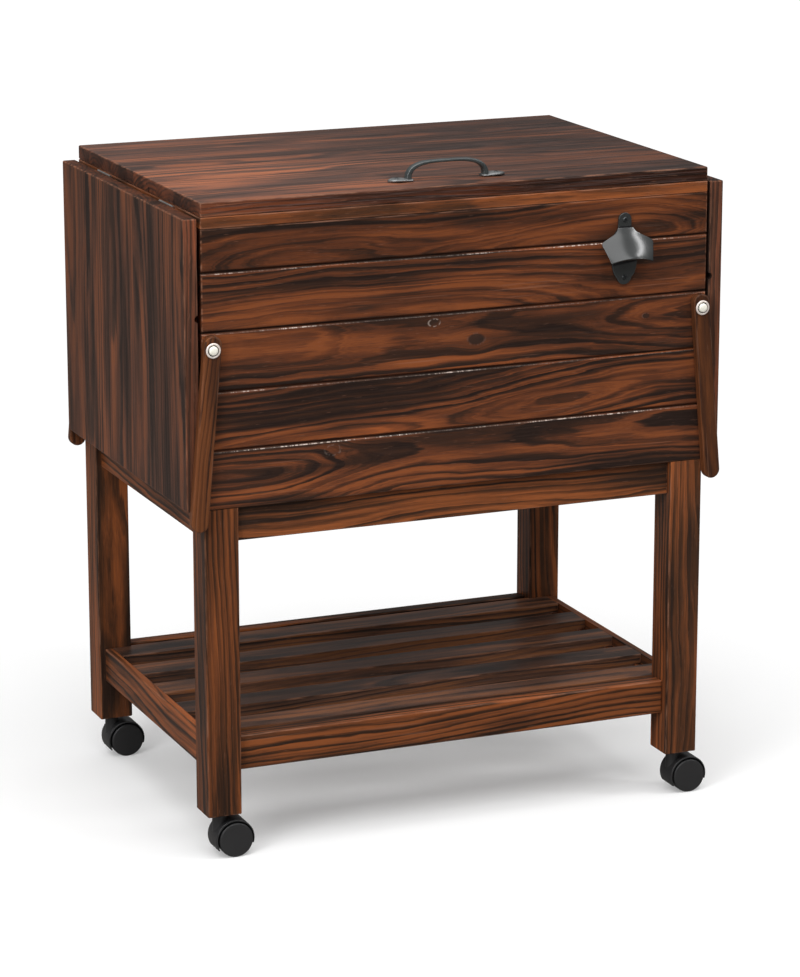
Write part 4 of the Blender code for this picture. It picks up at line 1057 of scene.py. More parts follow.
def hand_over(piece: bpy.types.Object, body: str, slot: str, *nodes: str) -> None:
    """Let a piece ride on its body and stand for its nodes.

    Args:
        piece: the piece.
        body: the body that it rides on.
        slot: not used.
        nodes: the nodes that it stands for.
    """
    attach(piece, body)
    if nodes:
        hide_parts(*nodes)
    LOG.info("%s rides on %s with %d faces", piece.name, body, len(piece.data.polygons))


def dress_node(node: str, material: bpy.types.Material) -> None:
    """Give a carried-over node its material.

    Args:
        node: the node's name.
        material: its material.
    """
    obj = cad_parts[node]
    obj.data.materials.clear()
    obj.data.materials.append(material)
    LOG.info("%s keeps its mesh and takes %s", node, material.name)


# ---------------------------------------------------------------- geometry node trees
def start_tree(name: str, numbers: Sequence[str]) -> tuple[Wiring, bpy.types.NodeOutputs]:
    """Start a geometry node tree that takes a guide, some numbers and a finish.

    Args:
        name: the tree's name.
        numbers: the names of its numbers; Count is a whole one.

    Returns:
        The tree's wiring and its inlets.
    """
    tree = bpy.data.node_groups.new(name, "GeometryNodeTree")
    kinds = {"Geometry": "Geometry", **dict.fromkeys(numbers, "Float"), "Finish": "Material"}
    if "Count" in kinds:
        kinds["Count"] = "Int"
    for title, kind in kinds.items():
        tree.interface.new_socket(title, in_out="INPUT", socket_type=f"NodeSocket{kind}")
    tree.interface.new_socket("Geometry", in_out="OUTPUT", socket_type="NodeSocketGeometry")
    wiring = Wiring(tree)
    return wiring, wiring.add("NodeGroupInput").outputs


def finish_tree(wiring: Wiring, inlet: bpy.types.NodeOutputs, made: Socket) -> None:
    """End a tree: make its instances real and give them the finish.

    Args:
        wiring: the tree's wiring.
        inlet: its inlets.
        made: what the tree has made.
    """
    real = wiring.add("GeometryNodeRealizeInstances", {"Geometry": made}).outputs["Geometry"]
    paint = wiring.add("GeometryNodeSetMaterial", {"Geometry": real, "Material": inlet["Finish"]})
    wiring.add("NodeGroupOutput", {"Geometry": paint.outputs["Geometry"]})


def run_tree(guide: bpy.types.Object, tree: bpy.types.NodeTree, values: dict[str, object],
             name: str) -> bpy.types.Object:
    """Run a geometry node tree on a guide and keep its result as a plain mesh.

    Args:
        guide: the object that the tree starts from; it is removed.
        tree: the tree.
        values: the tree's inputs by their names.
        name: the new piece's name.

    Returns:
        The new piece.
    """
    runner = guide.modifiers.new("tree", "NODES")
    runner.node_group = tree
    for item in tree.interface.items_tree:
        if item.in_out == "INPUT" and item.name in values:
            runner[item.identifier] = values[item.name]
    made, guide_mesh = settled_mesh(guide), guide.data
    bpy.data.objects.remove(guide)
    bpy.data.meshes.remove(guide_mesh)
    made.name = name
    return link_object(name, made)


@dataclass(frozen=True)
class ScrewSize:
    """The sizes of a screw head with a cross recess."""

    radius: float
    height: float
    slot_width: float = 0.0007
    slot_depth: float = 0.0009


class ScrewSetter:
    """Sets screw heads on given places, by one geometry node tree."""

    def __init__(self) -> None:
        """Build the tree: a bevelled head with a cross recess, set on the points and turned as they face."""
        wiring, inlet = start_tree("set_screws", ("Head Radius", "Head Height", "Slot Width", "Slot Depth"))
        self.tree = wiring.tree
        radius, height, width = inlet["Head Radius"], inlet["Head Height"], inlet["Slot Width"]
        head = wiring.add("GeometryNodeMeshCone", {
            "Vertices": 28, "Radius Bottom": radius, "Radius Top": wiring.times(radius, 0.72), "Depth": height},
            fill_type="NGON")
        carve = wiring.add("GeometryNodeMeshBoolean", {"Mesh 1": head.outputs["Mesh"]}, operation="DIFFERENCE",
                           solver="EXACT")
        reach = wiring.times(radius, 1.15)
        for x, y in ((reach, width), (width, reach)):
            size = wiring.join(x, y, wiring.times(inlet["Slot Depth"], 2.0))
            bar = wiring.add("GeometryNodeMeshCube", {"Size": size}).outputs["Mesh"]
            lift = wiring.add("GeometryNodeTransform", {"Geometry": bar, "Translation": wiring.join(0.0, 0.0, height)})
            wiring.feed(carve.inputs["Mesh 2"], lift.outputs["Geometry"])
        facing = wiring.add("GeometryNodeInputNamedAttribute", {"Name": "facing"}, data_type="FLOAT_VECTOR")
        align = wiring.add("FunctionNodeAlignRotationToVector", {"Vector": facing.outputs["Attribute"]}, axis="Z")
        spin = wiring.add("FunctionNodeRandomValue", {"Seed": 7, 0: (0, 0, 0), 1: (0, 0, 3.1)},
                          data_type="FLOAT_VECTOR")
        turn = wiring.add("FunctionNodeEulerToRotation", {0: spin.outputs[0]})
        both = wiring.add("FunctionNodeRotateRotation", {0: align.outputs[0], 1: turn.outputs[0]},
                          rotation_space="LOCAL")
        spread = wiring.add("GeometryNodeInstanceOnPoints", {
            "Points": inlet["Geometry"], "Instance": carve.outputs["Mesh"], "Rotation": both.outputs[0]})
        finish_tree(wiring, inlet, spread.outputs["Instances"])

    def set_screws(self, name: str, places: Sequence[tuple[Corner, Corner]], size: ScrewSize,
                   finish: bpy.types.Material, body: str, slot: str) -> None:
        """Set screws on a body.

        Args:
            name: the new piece's name.
            places: each screw's seat and the way that it faces.
            size: the head's sizes.
            finish: the head's material.
            body: the body that the screws ride on.
            slot: their finish's slot in the record.
        """
        guide_mesh = bpy.data.meshes.new(f"{name}_guide")
        guide_mesh.from_pydata([place for place, _ in places], [], [])
        facing = guide_mesh.attributes.new("facing", "FLOAT_VECTOR", "POINT")
        for item, (_, way) in zip(facing.data, places):
            item.vector = way
        values = {"Head Radius": size.radius, "Head Height": size.height, "Slot Width": size.slot_width,
                  "Slot Depth": size.slot_depth, "Finish": finish}
        hand_over(run_tree(link_object(f"{name}_guide", guide_mesh), self.tree, values, name), body, slot)


# ---------------------------------------------------------------- the cooler's parts
@dataclass
class ShelfSlats:
    """The five shelf slats: eased boards with thinner ends that lie in the side rails' rebates."""

    thick: float = 0.0155
    ease: float = 0.0012
    slack: float = 0.0012
    count: int = 5
    post_height: float = 0.6

    def blank(self, low: Vector, high: Vector, rail: float) -> bmesh.types.BMesh:
        """Make one slat about the shelf's middle, with its edges marked for lightening: real rubbing and a painted
        highlight.

        Args:
            low: the middle slat's lowest corner.
            high: its highest corner.
            rail: how far out the side rails' inner faces lie.

        Returns:
            The slat.
        """
        reach, tongue, width = high.x, low.z - high.z, high.y - low.y - 2 * self.slack
        inner = rail - 0.0004
        outline = [(-reach, tongue), (-inner, tongue), (-inner, -self.thick), (inner, -self.thick), (inner, tongue),
                   (reach, tongue), (reach, 0), (-reach, 0)]
        shape = bmesh.new()
        turn = Matrix.Translation((0, high.y - self.slack, high.z)) @ UPRIGHT
        prism(shape, outline, width, turn, self.ease, 2)
        mark_edges(shape, 0.004, self.ease)
        return shape

    def tree(self) -> bpy.types.NodeTree:
        """Build the tree that repeats the slat across the shelf and notches it round the legs.

        Returns:
            The geometry node tree.
        """
        wiring, inlet = start_tree("repeat_slats", ("Count", "Pitch", "Leg Side", "Leg Spread X", "Leg Spread Y",
                                                    "Middle Y"))
        pitch, leg = inlet["Pitch"], inlet["Leg Side"]
        first = wiring.times(wiring.times(wiring.minus(inlet["Count"], 1.0), -0.5), pitch)
        line = wiring.add("GeometryNodeMeshLine", {
            "Count": inlet["Count"], "Start Location": wiring.join(0.0, first, 0.0),
            "Offset": wiring.join(0.0, pitch, 0.0)}, mode="OFFSET")
        spread = wiring.add("GeometryNodeInstanceOnPoints", {"Points": line.outputs["Mesh"],
                                                             "Instance": inlet["Geometry"]})
        slats = wiring.add("GeometryNodeRealizeInstances", {"Geometry": spread.outputs["Instances"]})
        grid = wiring.add("GeometryNodeMeshGrid", {"Size X": inlet["Leg Spread X"], "Size Y": inlet["Leg Spread Y"],
                                                   "Vertices X": 2, "Vertices Y": 2})
        post = wiring.add("GeometryNodeMeshCube", {"Size": wiring.join(leg, leg, self.post_height)})
        posts = wiring.add("GeometryNodeInstanceOnPoints", {"Points": grid.outputs["Mesh"],
                                                            "Instance": post.outputs["Mesh"]})
        move = wiring.add("GeometryNodeTransform", {"Geometry": posts.outputs["Instances"],
                                                    "Translation": wiring.join(0.0, inlet["Middle Y"], 0.0)})
        legs = wiring.add("GeometryNodeRealizeInstances", {"Geometry": move.outputs["Geometry"]})
        notch = wiring.add("GeometryNodeMeshBoolean", {"Mesh 1": slats.outputs["Geometry"],
                                                       "Mesh 2": legs.outputs["Geometry"]},
                           operation="DIFFERENCE", solver="EXACT")
        finish_tree(wiring, inlet, notch.outputs["Mesh"])
        return wiring.tree

    def build(self, dresser: TimberDresser) -> None:
        """Build the slats as one piece that stands for their nodes.

        Args:
            dresser: gives the slats their timber.
        """
        names = [f"shelf_slat_{index}" for index in range(1, self.count + 1)]
        low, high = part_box(names[self.count // 2])
        first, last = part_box(names[0])[0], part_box(names[-1])[1]
        pitch = (last.y - first.y - (high.y - low.y)) / (self.count - 1)
        plan = BoardPlan(Axis.X, Axis.Y, Axis.Z, 75.7, pitch, first.y - (pitch - (high.y - low.y)) / 2)
        finish = dresser.material("slats", SLAT_TIMBER, plan, first, last, edge_name="edge")
        leg_low, leg_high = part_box("leg_rear_right")
        values = {"Count": self.count, "Pitch": pitch, "Leg Side": leg_high.x - leg_low.x + 2 * GAP,
                  "Leg Spread X": leg_high.x + leg_low.x, "Leg Spread Y": leg_high.y + leg_low.y - 2 * MIDDLE_Y,
                  "Middle Y": MIDDLE_Y, "Finish": finish}
        guide = to_object("slat_guide", self.blank(low, high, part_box("shelf_rail_right")[0].x), [])
        hand_over(run_tree(guide, self.tree(), values, "shelf_slats"), "cabinet", "wood_pale", *names)


@dataclass
class TimberCarcass:
    """Every timber node that keeps its own mesh: legs, aprons, walls, frame, boards, shelf, lid and leaves."""

    dresser: TimberDresser

    def dress(self) -> None:
        """Give each node its own stained timber."""
        for node, (finish, plan) in timber_plans().items():
            dress_node(node, self.dresser.material(node, finish, plan, *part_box(node)))


@dataclass
class SwingArm:
    """One swing arm: a round-ended timber strip with its peg, hung a little outward on its bolt."""

    end: str
    side: str
    width: float = 0.020
    thick: float = 0.010
    reach: float = 0.203
    heel: float = 0.0157
    tilt: float = math.radians(5.1)
    clearance: float = 0.0005
    peg_reach: float = 0.1874
    peg_radius: float = 0.0035
    peg_length: float = 0.014
    ease: float = 0.0016
    peg_ease: float = 0.0008
    wear_and_glint_depth: float = 0.0014
    steps: int = 24

    def outline(self) -> list[tuple[float, float]]:
        """Give the arm's outline about its pivot, a little inside its solid.

        Returns:
            The outline's corners, in order.
        """
        radius = self.width / 2 - 0.00005
        half = [math.pi * step / self.steps for step in range(self.steps + 1)]
        upper = [(radius * math.cos(turn), self.heel - self.width / 2 + radius * math.sin(turn)) for turn in half]
        lower = [(-radius * math.cos(turn), self.width / 2 - self.reach - radius * math.sin(turn)) for turn in half]
        return upper + lower

    def build(self, dresser: TimberDresser) -> None:
        """Build the arm and let it stand for its node.

        Args:
            dresser: gives the arm its timber.
        """
        x_side, y_side = SIDES[self.side], ENDS[self.end]
        name, half = f"arm_{self.end}_{self.side}", self.thick / 2
        pivot = Vector((x_side * PIVOT_X, MIDDLE_Y + y_side * (HALF_DEPTH + self.clearance), PIVOT_HEIGHT))
        swing = Matrix.Translation(pivot) @ Matrix.Rotation(-x_side * self.tilt, 4, "Y")
        stand = Matrix.Translation((0, self.thick if y_side > 0 else 0, 0)) @ UPRIGHT
        shape = bmesh.new()
        prism(shape, self.outline(), self.thick, swing @ stand, self.ease)
        # Edges away from the inner face are lightened: real rubbing and a painted highlight.
        mark_edges(shape, 0.001, 0.0009,
                   lambda place: abs(place.y - pivot.y - y_side * half) > half - self.wear_and_glint_depth)
        peg = swing @ place_on((0, y_side * half / 2, -self.peg_reach), Axis.Y, -y_side)
        radius, length = self.peg_radius - 0.00002, self.peg_length + half / 2 - 0.0001
        lathe(shape, ((0, 0), (radius, 0), (radius, length - self.peg_ease), (radius - self.peg_ease, length),
                      (0, length)), peg, 28)
        plan = BoardPlan(Axis.Z, Axis.X, Axis.Y, 17.7 + 13 * x_side + 5 * y_side)
        material = dresser.material(name, ARM_TIMBER, plan, *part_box(name), swing.inverted(), "edge")
        hand_over(to_object(f"swing_{name}", shape, [material], 0.00008), name, "wood_dark", name)


@dataclass
class PivotBolt:
    """One pivot bolt: a washer, a domed cap and a shank through the arm."""

    end: str
    side: str
    seat: float = 0.2218
    washer_radius: float = 0.0085
    washer_thick: float = 0.0012
    cap_radius: float = 0.0052
    cap_rise: float = 0.0026
    cap_sink: float = 0.0004
    cap_steps: int = 8
    groove: float = 0.0010
    groove_steps: int = 3
    shank: float = 0.0030
    grip: float = 0.038

    def profile(self) -> list[tuple[float, float]]:
        """Give the bolt's profile from its cap to its tip.

        Returns:
            Radii and heights above the seat.
        """
        washer, thick, shank, tip = self.washer_radius, self.washer_thick, self.shank, 0.0001 - self.grip
        rim = self.cap_radius + self.groove
        turns = [math.pi / 2 * step / self.cap_steps for step in range(1, self.cap_steps + 1)]
        dome = [(self.cap_radius * math.sin(turn) ** 0.8, thick - self.cap_sink
                 + (self.cap_rise + self.cap_sink) * math.cos(turn) ** 0.6) for turn in turns]
        return [(0.0, thick + self.cap_rise), *dome, (self.cap_radius, 0.0002), (rim, 0.0002), (rim, thick - 0.0002),
                (rim + 0.0003, thick + 0.0002), (washer - 0.0012, thick + 0.0003), (washer - 0.0004, thick),
                (washer, thick * 0.55), (washer, thick * 0.3), (washer - 0.0002, 0.0001), (shank + 0.0005, 0.0),
                (shank, -0.0004), (shank, tip + 0.0009), (shank - 0.0008, tip), (0.0, tip)]

    def slot(self, step: int) -> int:
        """Give the material slot of a step of the profile: cap, steel or the groove's painted shade."""
        return 0 if step < self.cap_steps else 2 if step < self.cap_steps + self.groove_steps else 1

    def build(self, cap: bpy.types.Material, steel: bpy.types.Material, dark: bpy.types.Material) -> None:
        """Build the bolt and let it stand for its node.

        Args:
            cap: the cap's material.
            steel: the washer's and shank's material.
            dark: the near-black material of the groove round the cap, painted shade.
        """
        x_side, y_side = SIDES[self.side], ENDS[self.end]
        turn = place_on((x_side * PIVOT_X, MIDDLE_Y + y_side * self.seat, PIVOT_HEIGHT), Axis.Y, y_side)
        shape = bmesh.new()
        lathe(shape, self.profile(), turn, 48, self.slot)
        name = f"pivot_bolt_{self.end}_{self.side}"
        hand_over(to_object(f"capped_{name}", shape, [cap, steel, dark], angle=50.0), "cabinet", "bolt_steel", name)


@dataclass
class BottleOpener:
    """The wall-type bottle opener: a shaped plate, a bowed hood and the lip that lifts the cap."""

    centre: float = 0.200
    top: float = 0.703
    height: float = 0.082
    plate: float = 0.003
    plate_ease: float = 0.0007
    tab: float = 0.016
    width: float = 0.032
    foot: float = 0.018
    reach: float = 0.028
    hood_width: float = 0.063
    hood_start: float = 0.0165
    hood_drop: float = 0.037
    hood_arch: float = 0.15
    hood_ease: float = 0.0006
    wall: float = 0.0026
    columns: int = 44
    rows: int = 34
    steps: int = 20
    plate_shares: tuple = ((0.22, 0.52), (0.30, 0.80), (0.40, 0.98), (0.52, 1.0), (0.64, 1.0), (0.76, 0.93),
                           (0.85, 0.80))
    hood_shares: tuple = ((0.0, 0.30, 0.17), (0.14, 0.42, 0.30), (0.28, 0.74, 0.44), (0.42, 1.0, 0.57),
                          (0.60, 0.96, 0.72), (0.80, 0.89, 0.87), (1.0, 0.82, 1.0))
    bend: float = 6.2
    lip: Corner = (0.018, 0.006, 0.003)
    # Outlines of thin near-black sheets of painted shade: the crease above the hood and the mouth below it.
    crease: tuple = ((-0.0078, -0.0168), (0.0078, -0.0168), (0.0078, -0.0152), (-0.0078, -0.0152))
    mouth: tuple = ((-0.0150, -0.0602), (0.0146, -0.0562), (0.0150, -0.0390), (-0.0150, -0.0390))
    screw_heights: tuple[float, float] = (0.695, 0.629)

    def plate_outline(self) -> list[tuple[float, float]]:
        """Give the plate's outline: a round tab, wide shoulders and a round foot.

        Returns:
            The outline's corners, in order, from the tab's top.
        """
        tab, foot, first, last = self.tab / 2, self.foot / 2, self.plate_shares[0][0], self.plate_shares[-1][0]
        turns = [math.pi * k / self.steps for k in range(self.steps + 1)]
        shares = [first + (last - first) * k / 24 for k in range(25)]
        edge = [(-smooth_curve(self.plate_shares, share)[0] * self.width / 2, -share * self.height)
                for share in shares]
        dots = [(tab * math.cos(turn), tab * math.sin(turn) - tab) for turn in turns] + edge
        dots += [(-foot * math.cos(turn), foot - self.height - foot * math.sin(turn)) for turn in turns[1:-1]]
        return dots + [(-x, y) for x, y in reversed(edge)]

    def hood_place(self, row: int, column: int) -> Vector:
        """Give a place of the hood's outer sheet: it flares to its wings and bows out to its arched rim.

        Args:
            row: how many rows down from the tab.
            column: how many columns from the left edge.

        Returns:
            The place.
        """
        share, across = row / self.rows, 2 * column / self.columns - 1
        half, middle = smooth_curve(self.hood_shares, share)
        x = half * across * self.hood_width / 2
        drop = share - self.hood_arch * share ** 4 * (1 - abs(across) ** 2.2)
        return Vector((self.centre + x, FRONT_FACE - self.reach * middle + self.bend * x * x,
                       self.top - self.hood_start - self.hood_drop * drop))

    def hood(self) -> bmesh.types.BMesh:
        """Loft the hood as a sheet with a wall, its edges eased.

        Returns:
            The hood's mesh.
        """
        shape = bmesh.new()
        rows, columns = range(self.rows + 1), range(self.columns + 1)
        front = [[self.hood_place(row, column) for column in columns] for row in rows]
        normals = [[(front[row][min(column + 1, self.columns)] - front[row][max(column - 1, 0)]).cross(
            front[min(row + 1, self.rows)][column] - front[max(row - 1, 0)][column]).normalized()
            for column in columns] for row in rows]
        wall = math.copysign(self.wall, sum(normal.y for line in normals for normal in line))
        outer = [[shape.verts.new(place) for place in line] for line in front]
        within = [[shape.verts.new(place + wall * normal) for place, normal in zip(*pair)]
                  for pair in zip(front, normals)]
        for row in rows[:-1]:
            for column in columns[:-1]:
                for sheet in (outer, within):
                    shape.faces.new((sheet[row][column], sheet[row][column + 1], sheet[row + 1][column + 1],
                                     sheet[row + 1][column]))
        loop = [(0, column) for column in columns[:-1]] + [(row, self.columns) for row in rows[:-1]]
        loop += [(self.rows, column) for column in columns[:0:-1]] + [(row, 0) for row in rows[:0:-1]]
        for (a, b), (c, d) in zip(loop, loop[1:] + loop[:1]):
            shape.faces.new((outer[a][b], outer[c][d], within[c][d], within[a][b]))
        bmesh.ops.recalc_face_normals(shape, faces=shape.faces)
        rim = [edge for edge in shape.edges if edge.calc_face_angle(0) > math.radians(50)]
        ease_edges(shape, rim, self.hood_ease, 2)
        return shape

    def build(self, setter: ScrewSetter, painted_shade: bpy.types.Material) -> None:
        """Build the opener with its two screws.

        Args:
            setter: sets the screws.
            painted_shade: the near-black material of the crease above the hood and of the mouth, painted shade.
        """
        shape, face = bmesh.new(), FRONT_FACE - GAP
        stand = Matrix.Translation((self.centre, face, self.top)) @ UPRIGHT
        prism(shape, self.plate_outline(), self.plate, stand, self.plate_ease)
        merge(shape, self.hood())
        lip, (wide, deep, tall) = bmesh.new(), self.lip
        bmesh.ops.create_cube(lip, size=1)
        bmesh.ops.scale(lip, vec=(wide, deep + self.plate / 2, tall), verts=lip.verts)
        ease_edges(lip, lip.edges[:], self.plate_ease, 3)
        lip_place = (self.centre, face - self.plate * 0.75 - deep / 2,
                     self.top - self.hood_start - self.hood_drop / 2 - tall / 2)
        bmesh.ops.translate(lip, vec=lip_place, verts=lip.verts)
        merge(shape, lip)
        plated = len(shape.faces)
        # The crease and the mouth are thin near-black sheets of painted shade.
        for outline in (self.crease, self.mouth):
            prism(shape, outline, 0.0004, Matrix.Translation((0, 0.0001 - self.plate, 0)) @ stand, 0.0001, 1)
        shape.faces.ensure_lookup_table()
        for index in range(plated, len(shape.faces)):
            shape.faces[index].material_index = 1
        piece = to_object("wall_bottle_opener", shape, [GUNMETAL.material(), painted_shade], 0.0002)
        hand_over(piece, "cabinet", "gunmetal", "bottle_opener")
        seats = [((self.centre, face - self.plate, height), (0, -1, 0)) for height in self.screw_heights]
        setter.set_screws("opener_screws", seats, ScrewSize(0.0030, 0.0011), DARK_SCREW.material(), "cabinet",
                          "gunmetal")


@dataclass
class LidPull:
    """The iron pull: a flat arched strap between two leaf-shaped feet."""

    span: float = 0.141
    centre_y: float = -0.164
    base: float = LID_TOP + GAP
    foot_length: float = 0.0290
    foot_width: float = 0.0190
    foot_thick: float = 0.0040
    foot_steps: int = 26
    rise: float = 0.0228
    thick: float = 0.0036
    heel_thick: float = 0.0072
    width: float = 0.0086
    heel: float = 0.0050
    steps: int = 72
    sides: int = 20
    screw_spread: float = 0.060
    foot_shares: tuple = ((0.0, 0.10), (0.06, 0.30), (0.16, 0.62), (0.30, 0.90), (0.42, 1.0), (0.56, 0.96),
                          (0.70, 0.82), (0.84, 0.78), (0.94, 0.74), (1.0, 0.50))

    def foot(self, shape: bmesh.types.BMesh, side: int) -> None:
        """Add one foot, crowned along its middle.

        Args:
            shape: the mesh to add to.
            side: minus one for the left foot, one for the right.
        """
        rings = []
        for step in range(self.foot_steps + 1):
            share = step / self.foot_steps
            half = smooth_curve(self.foot_shares, share)[0] * self.foot_width / 2
            x = side * self.span / 2 - side * share * self.foot_length
            crown = self.foot_thick * (0.62 + 0.38 * math.sin(math.pi * min(1.0, share * 1.3)) ** 0.5)
            rings.append([shape.verts.new((x, self.centre_y + half * across,
                                           self.base + crown * (0.5 + 0.5 * lift) + 0.00005))
                          for across, lift in squared_ring(self.sides, 0.55, 0.75)])
        skin(shape, rings)

    def strap(self, shape: bmesh.types.BMesh) -> None:
        """Add the strap: a flat oval swept over a square-shouldered arch, broader at its heels.

        Args:
            shape: the mesh to add to.
        """
        half_span = self.span / 2 - self.foot_length + self.heel
        base = self.base + self.foot_thick / 2
        rise = LID_TOP + self.rise - self.thick / 2 - 0.0001 - base
        path = []
        for step in range(self.steps + 1):
            turn = math.pi * step / self.steps
            x = half_span * math.copysign(abs(math.cos(turn)) ** (2 / 3.5), math.cos(turn))
            path.append(Vector((x, self.centre_y, base + rise * abs(math.sin(turn)) ** (2 / 2.5))))
        rings = []
        for step, dot in enumerate(path):
            way = (path[min(step + 1, self.steps)] - path[max(step - 1, 0)]).normalized()
            out = way.cross(Vector((0, 1, 0)))
            low = (1 - min(1.0, (dot.z - base) / rise)) ** 0.7
            wide = self.width / 2 * (1 + 0.12 * low)
            deep = (self.thick + (self.heel_thick - self.thick) * low) / 2
            rings.append([shape.verts.new(dot + Vector((0, across * wide, 0)) + out * (lift * deep))
                          for across, lift in squared_ring(self.sides, 0.5, 0.6)])
        skin(shape, rings)

    def build(self, setter: ScrewSetter) -> None:
        """Build the pull with its two screws.

        Args:
            setter: sets the screws.
        """
        shape = bmesh.new()
        for side in SIDES.values():
            self.foot(shape, side)
        # The feet take the brighter copy of the iron coat: a painted reflection.
        for face in shape.faces:
            face.material_index = 1
        self.strap(shape)
        piece = to_object("iron_lid_pull", shape, [DARK_IRON.material(), PAINTED_SHEEN_IRON.material()], angle=60.0)
        hand_over(piece, "lid", "dark_iron", "lid_pull")
        seats = [((side * self.screw_spread, self.centre_y, self.base + self.foot_thick * 0.93), (0, 0, 1))
                 for side in SIDES.values()]
        setter.set_screws("pull_screws", seats, ScrewSize(0.0026, 0.0007, 0.0006, 0.0005), DARK_SCREW.material(),
                          "lid", "dark_iron")


@dataclass
class TwinCaster:
    """One twin-wheel caster: a swivelling hood with its stem, and two wheels on one axle."""

    end: str
    side: str
    stem_x: float = 0.285
    stem_y: float = 0.191
    stem: tuple = ((0, 0.0878), (0.0036, 0.0878), (0.0039, 0.0872), (0.0039, 0.0500), (0, 0.0500))
    wheel_radius: float = 0.020
    spread: float = 0.031
    wheel_thick: float = 0.011
    trail: float = 0.015
    hood_width: float = 0.030
    hood_ease: float = 0.0009
    drum_radius: float = 0.0229
    drum_shift: tuple[float, float] = (-0.0012, 0.0012)
    drum_steps: int = 84
    cheek: float = 0.0035
    well_radius: float = 0.0216
    well_shift: tuple[float, float] = (-0.0008, 0.0008)
    low_right: float = math.radians(17.0)
    low_left: float = math.radians(31.0)
    neck: float = 0.0080
    neck_sides: int = 40
    top: float = 0.0517

    def centre(self) -> Vector:
        """Give the middle of the axle."""
        return Vector((SIDES[self.side] * self.stem_x + self.trail, MIDDLE_Y + ENDS[self.end] * self.stem_y,
                       self.wheel_radius))

    def hood_outline(self) -> list[tuple[float, float]]:
        """Give the hood's outline about its axle: a drum, set a little back and up, and cut off below.

        Returns:
            The outline's corners, in order.
        """
        first, last = -self.low_right, math.pi + self.low_left
        turns = [first + (last - first) * step / self.drum_steps for step in range(self.drum_steps + 1)]
        return [(self.drum_shift[0] + self.drum_radius * math.cos(turn),
                 self.drum_shift[1] + self.drum_radius * math.sin(turn)) for turn in turns]

    def add_neck(self, shape: bmesh.types.BMesh) -> None:
        """Add the neck that rises from the drum to the leg, its foot lying in the drum's wall.

        Args:
            shape: the mesh to add to.
        """
        centre, neck, top, seat = self.centre(), self.neck, self.top, self.drum_radius + 0.0003
        rings = []
        for radius, height in ((neck - 0.0007, top), (neck, top - 0.0007), (neck + 0.0002, 0.043),
                               (neck + 0.0006, None), (neck / 2, None)):
            ring = []
            for x, y in circle(radius, self.neck_sides):
                floor = centre.z + math.sqrt(max(seat ** 2 - (x - self.trail) ** 2, 0.009 ** 2))
                ring.append(shape.verts.new((centre.x + (x - self.trail), centre.y + y,
                                             floor if height is None else max(height, floor + 0.001))))
            rings.append(ring)
        foot = (centre.x - self.trail, centre.y, centre.z + math.sqrt(seat ** 2 - self.trail ** 2))
        skin(shape, [*rings, [shape.verts.new(foot)]])

    def hood(self, material: bpy.types.Material) -> None:
        """Build the hood with its stem: a cheek plate in the middle and a shell over each wheel.

        Args:
            material: the hood's material.
        """
        centre, half, shape = self.centre(), self.hood_width / 2, bmesh.new()
        stand = Matrix.Translation(centre + Vector((0, half, 0))) @ UPRIGHT
        prism(shape, self.hood_outline(), self.hood_width, stand, self.hood_ease)
        solid = to_object("hood_blank", shape, [material])
        cutters = []
        for side in (-1, 1):
            well, depth, (x, z) = bmesh.new(), half - self.cheek + 0.004, self.well_shift
            seat = Matrix.Translation(centre) @ place_on((x, side * self.cheek, z), Axis.Y, side)
            lathe(well, ((0, 0), (self.well_radius, 0), (self.well_radius, depth), (0, depth)), seat, 72)
            cutters.append(to_object("well", well, []))
            change = solid.modifiers.new("well", "BOOLEAN")
            change.object, change.solver, change.operation = cutters[-1], "EXACT", "DIFFERENCE"
        mesh, shape = settled_mesh(solid), bmesh.new()
        shape.from_mesh(mesh)
        for obj in [solid, *cutters]:
            bpy.data.objects.remove(obj)
        bpy.data.meshes.remove(mesh)
        self.add_neck(shape)
        lathe(shape, self.stem, Matrix.Translation((centre.x - self.trail, centre.y, 0)), 32)
        tag = f"{self.end}_{self.side}"
        piece = to_object(f"twin_caster_hood_{tag}", shape, [material], 0.00006)
        hand_over(piece, f"caster_{tag}", "black_plastic", f"caster_hood_{tag}")

    def wheels(self, material: bpy.types.Material, hub: bpy.types.Material) -> None:
        """Build both wheels: a tread, a rounded rim and a flat face, on an axle.

        Args:
            material: the tread's and the face's material.
            hub: the axle's material.
        """
        r, half = self.wheel_radius, self.spread / 2
        inner = half - self.wheel_thick
        face = [(r, 0.0001), (0.0060, 0.0), (0.0026, 0.0001), (0.0016, 0.0002), (0.0008, 0.0005), (0.0003, 0.0010),
                (0.0001, 0.0015), (0.0, 0.0022)]
        outside = [(r - inset, half - sink) for inset, sink in face]
        outside += [(r, inner + 0.0014), (r - 0.0004, inner + 0.0005), (r - 0.0012, inner), (r - 0.0030, inner),
                    (r - 0.0036, inner + 0.0020), (0.0060, inner + 0.0020), (0.0050, inner), (0.0029, inner)]
        profile = outside + [(radius, -height) for radius, height in reversed(outside)]
        shape, tag = bmesh.new(), f"{self.end}_{self.side}"
        lathe(shape, profile, place_on(self.centre(), Axis.Y), 96, lambda step: int(step == len(outside) - 1))
        piece = to_object(f"twin_wheels_{tag}", shape, [material, hub], angle=32.0)
        hand_over(piece, f"wheels_{tag}", "black_wheel", f"caster_wheels_{tag}")


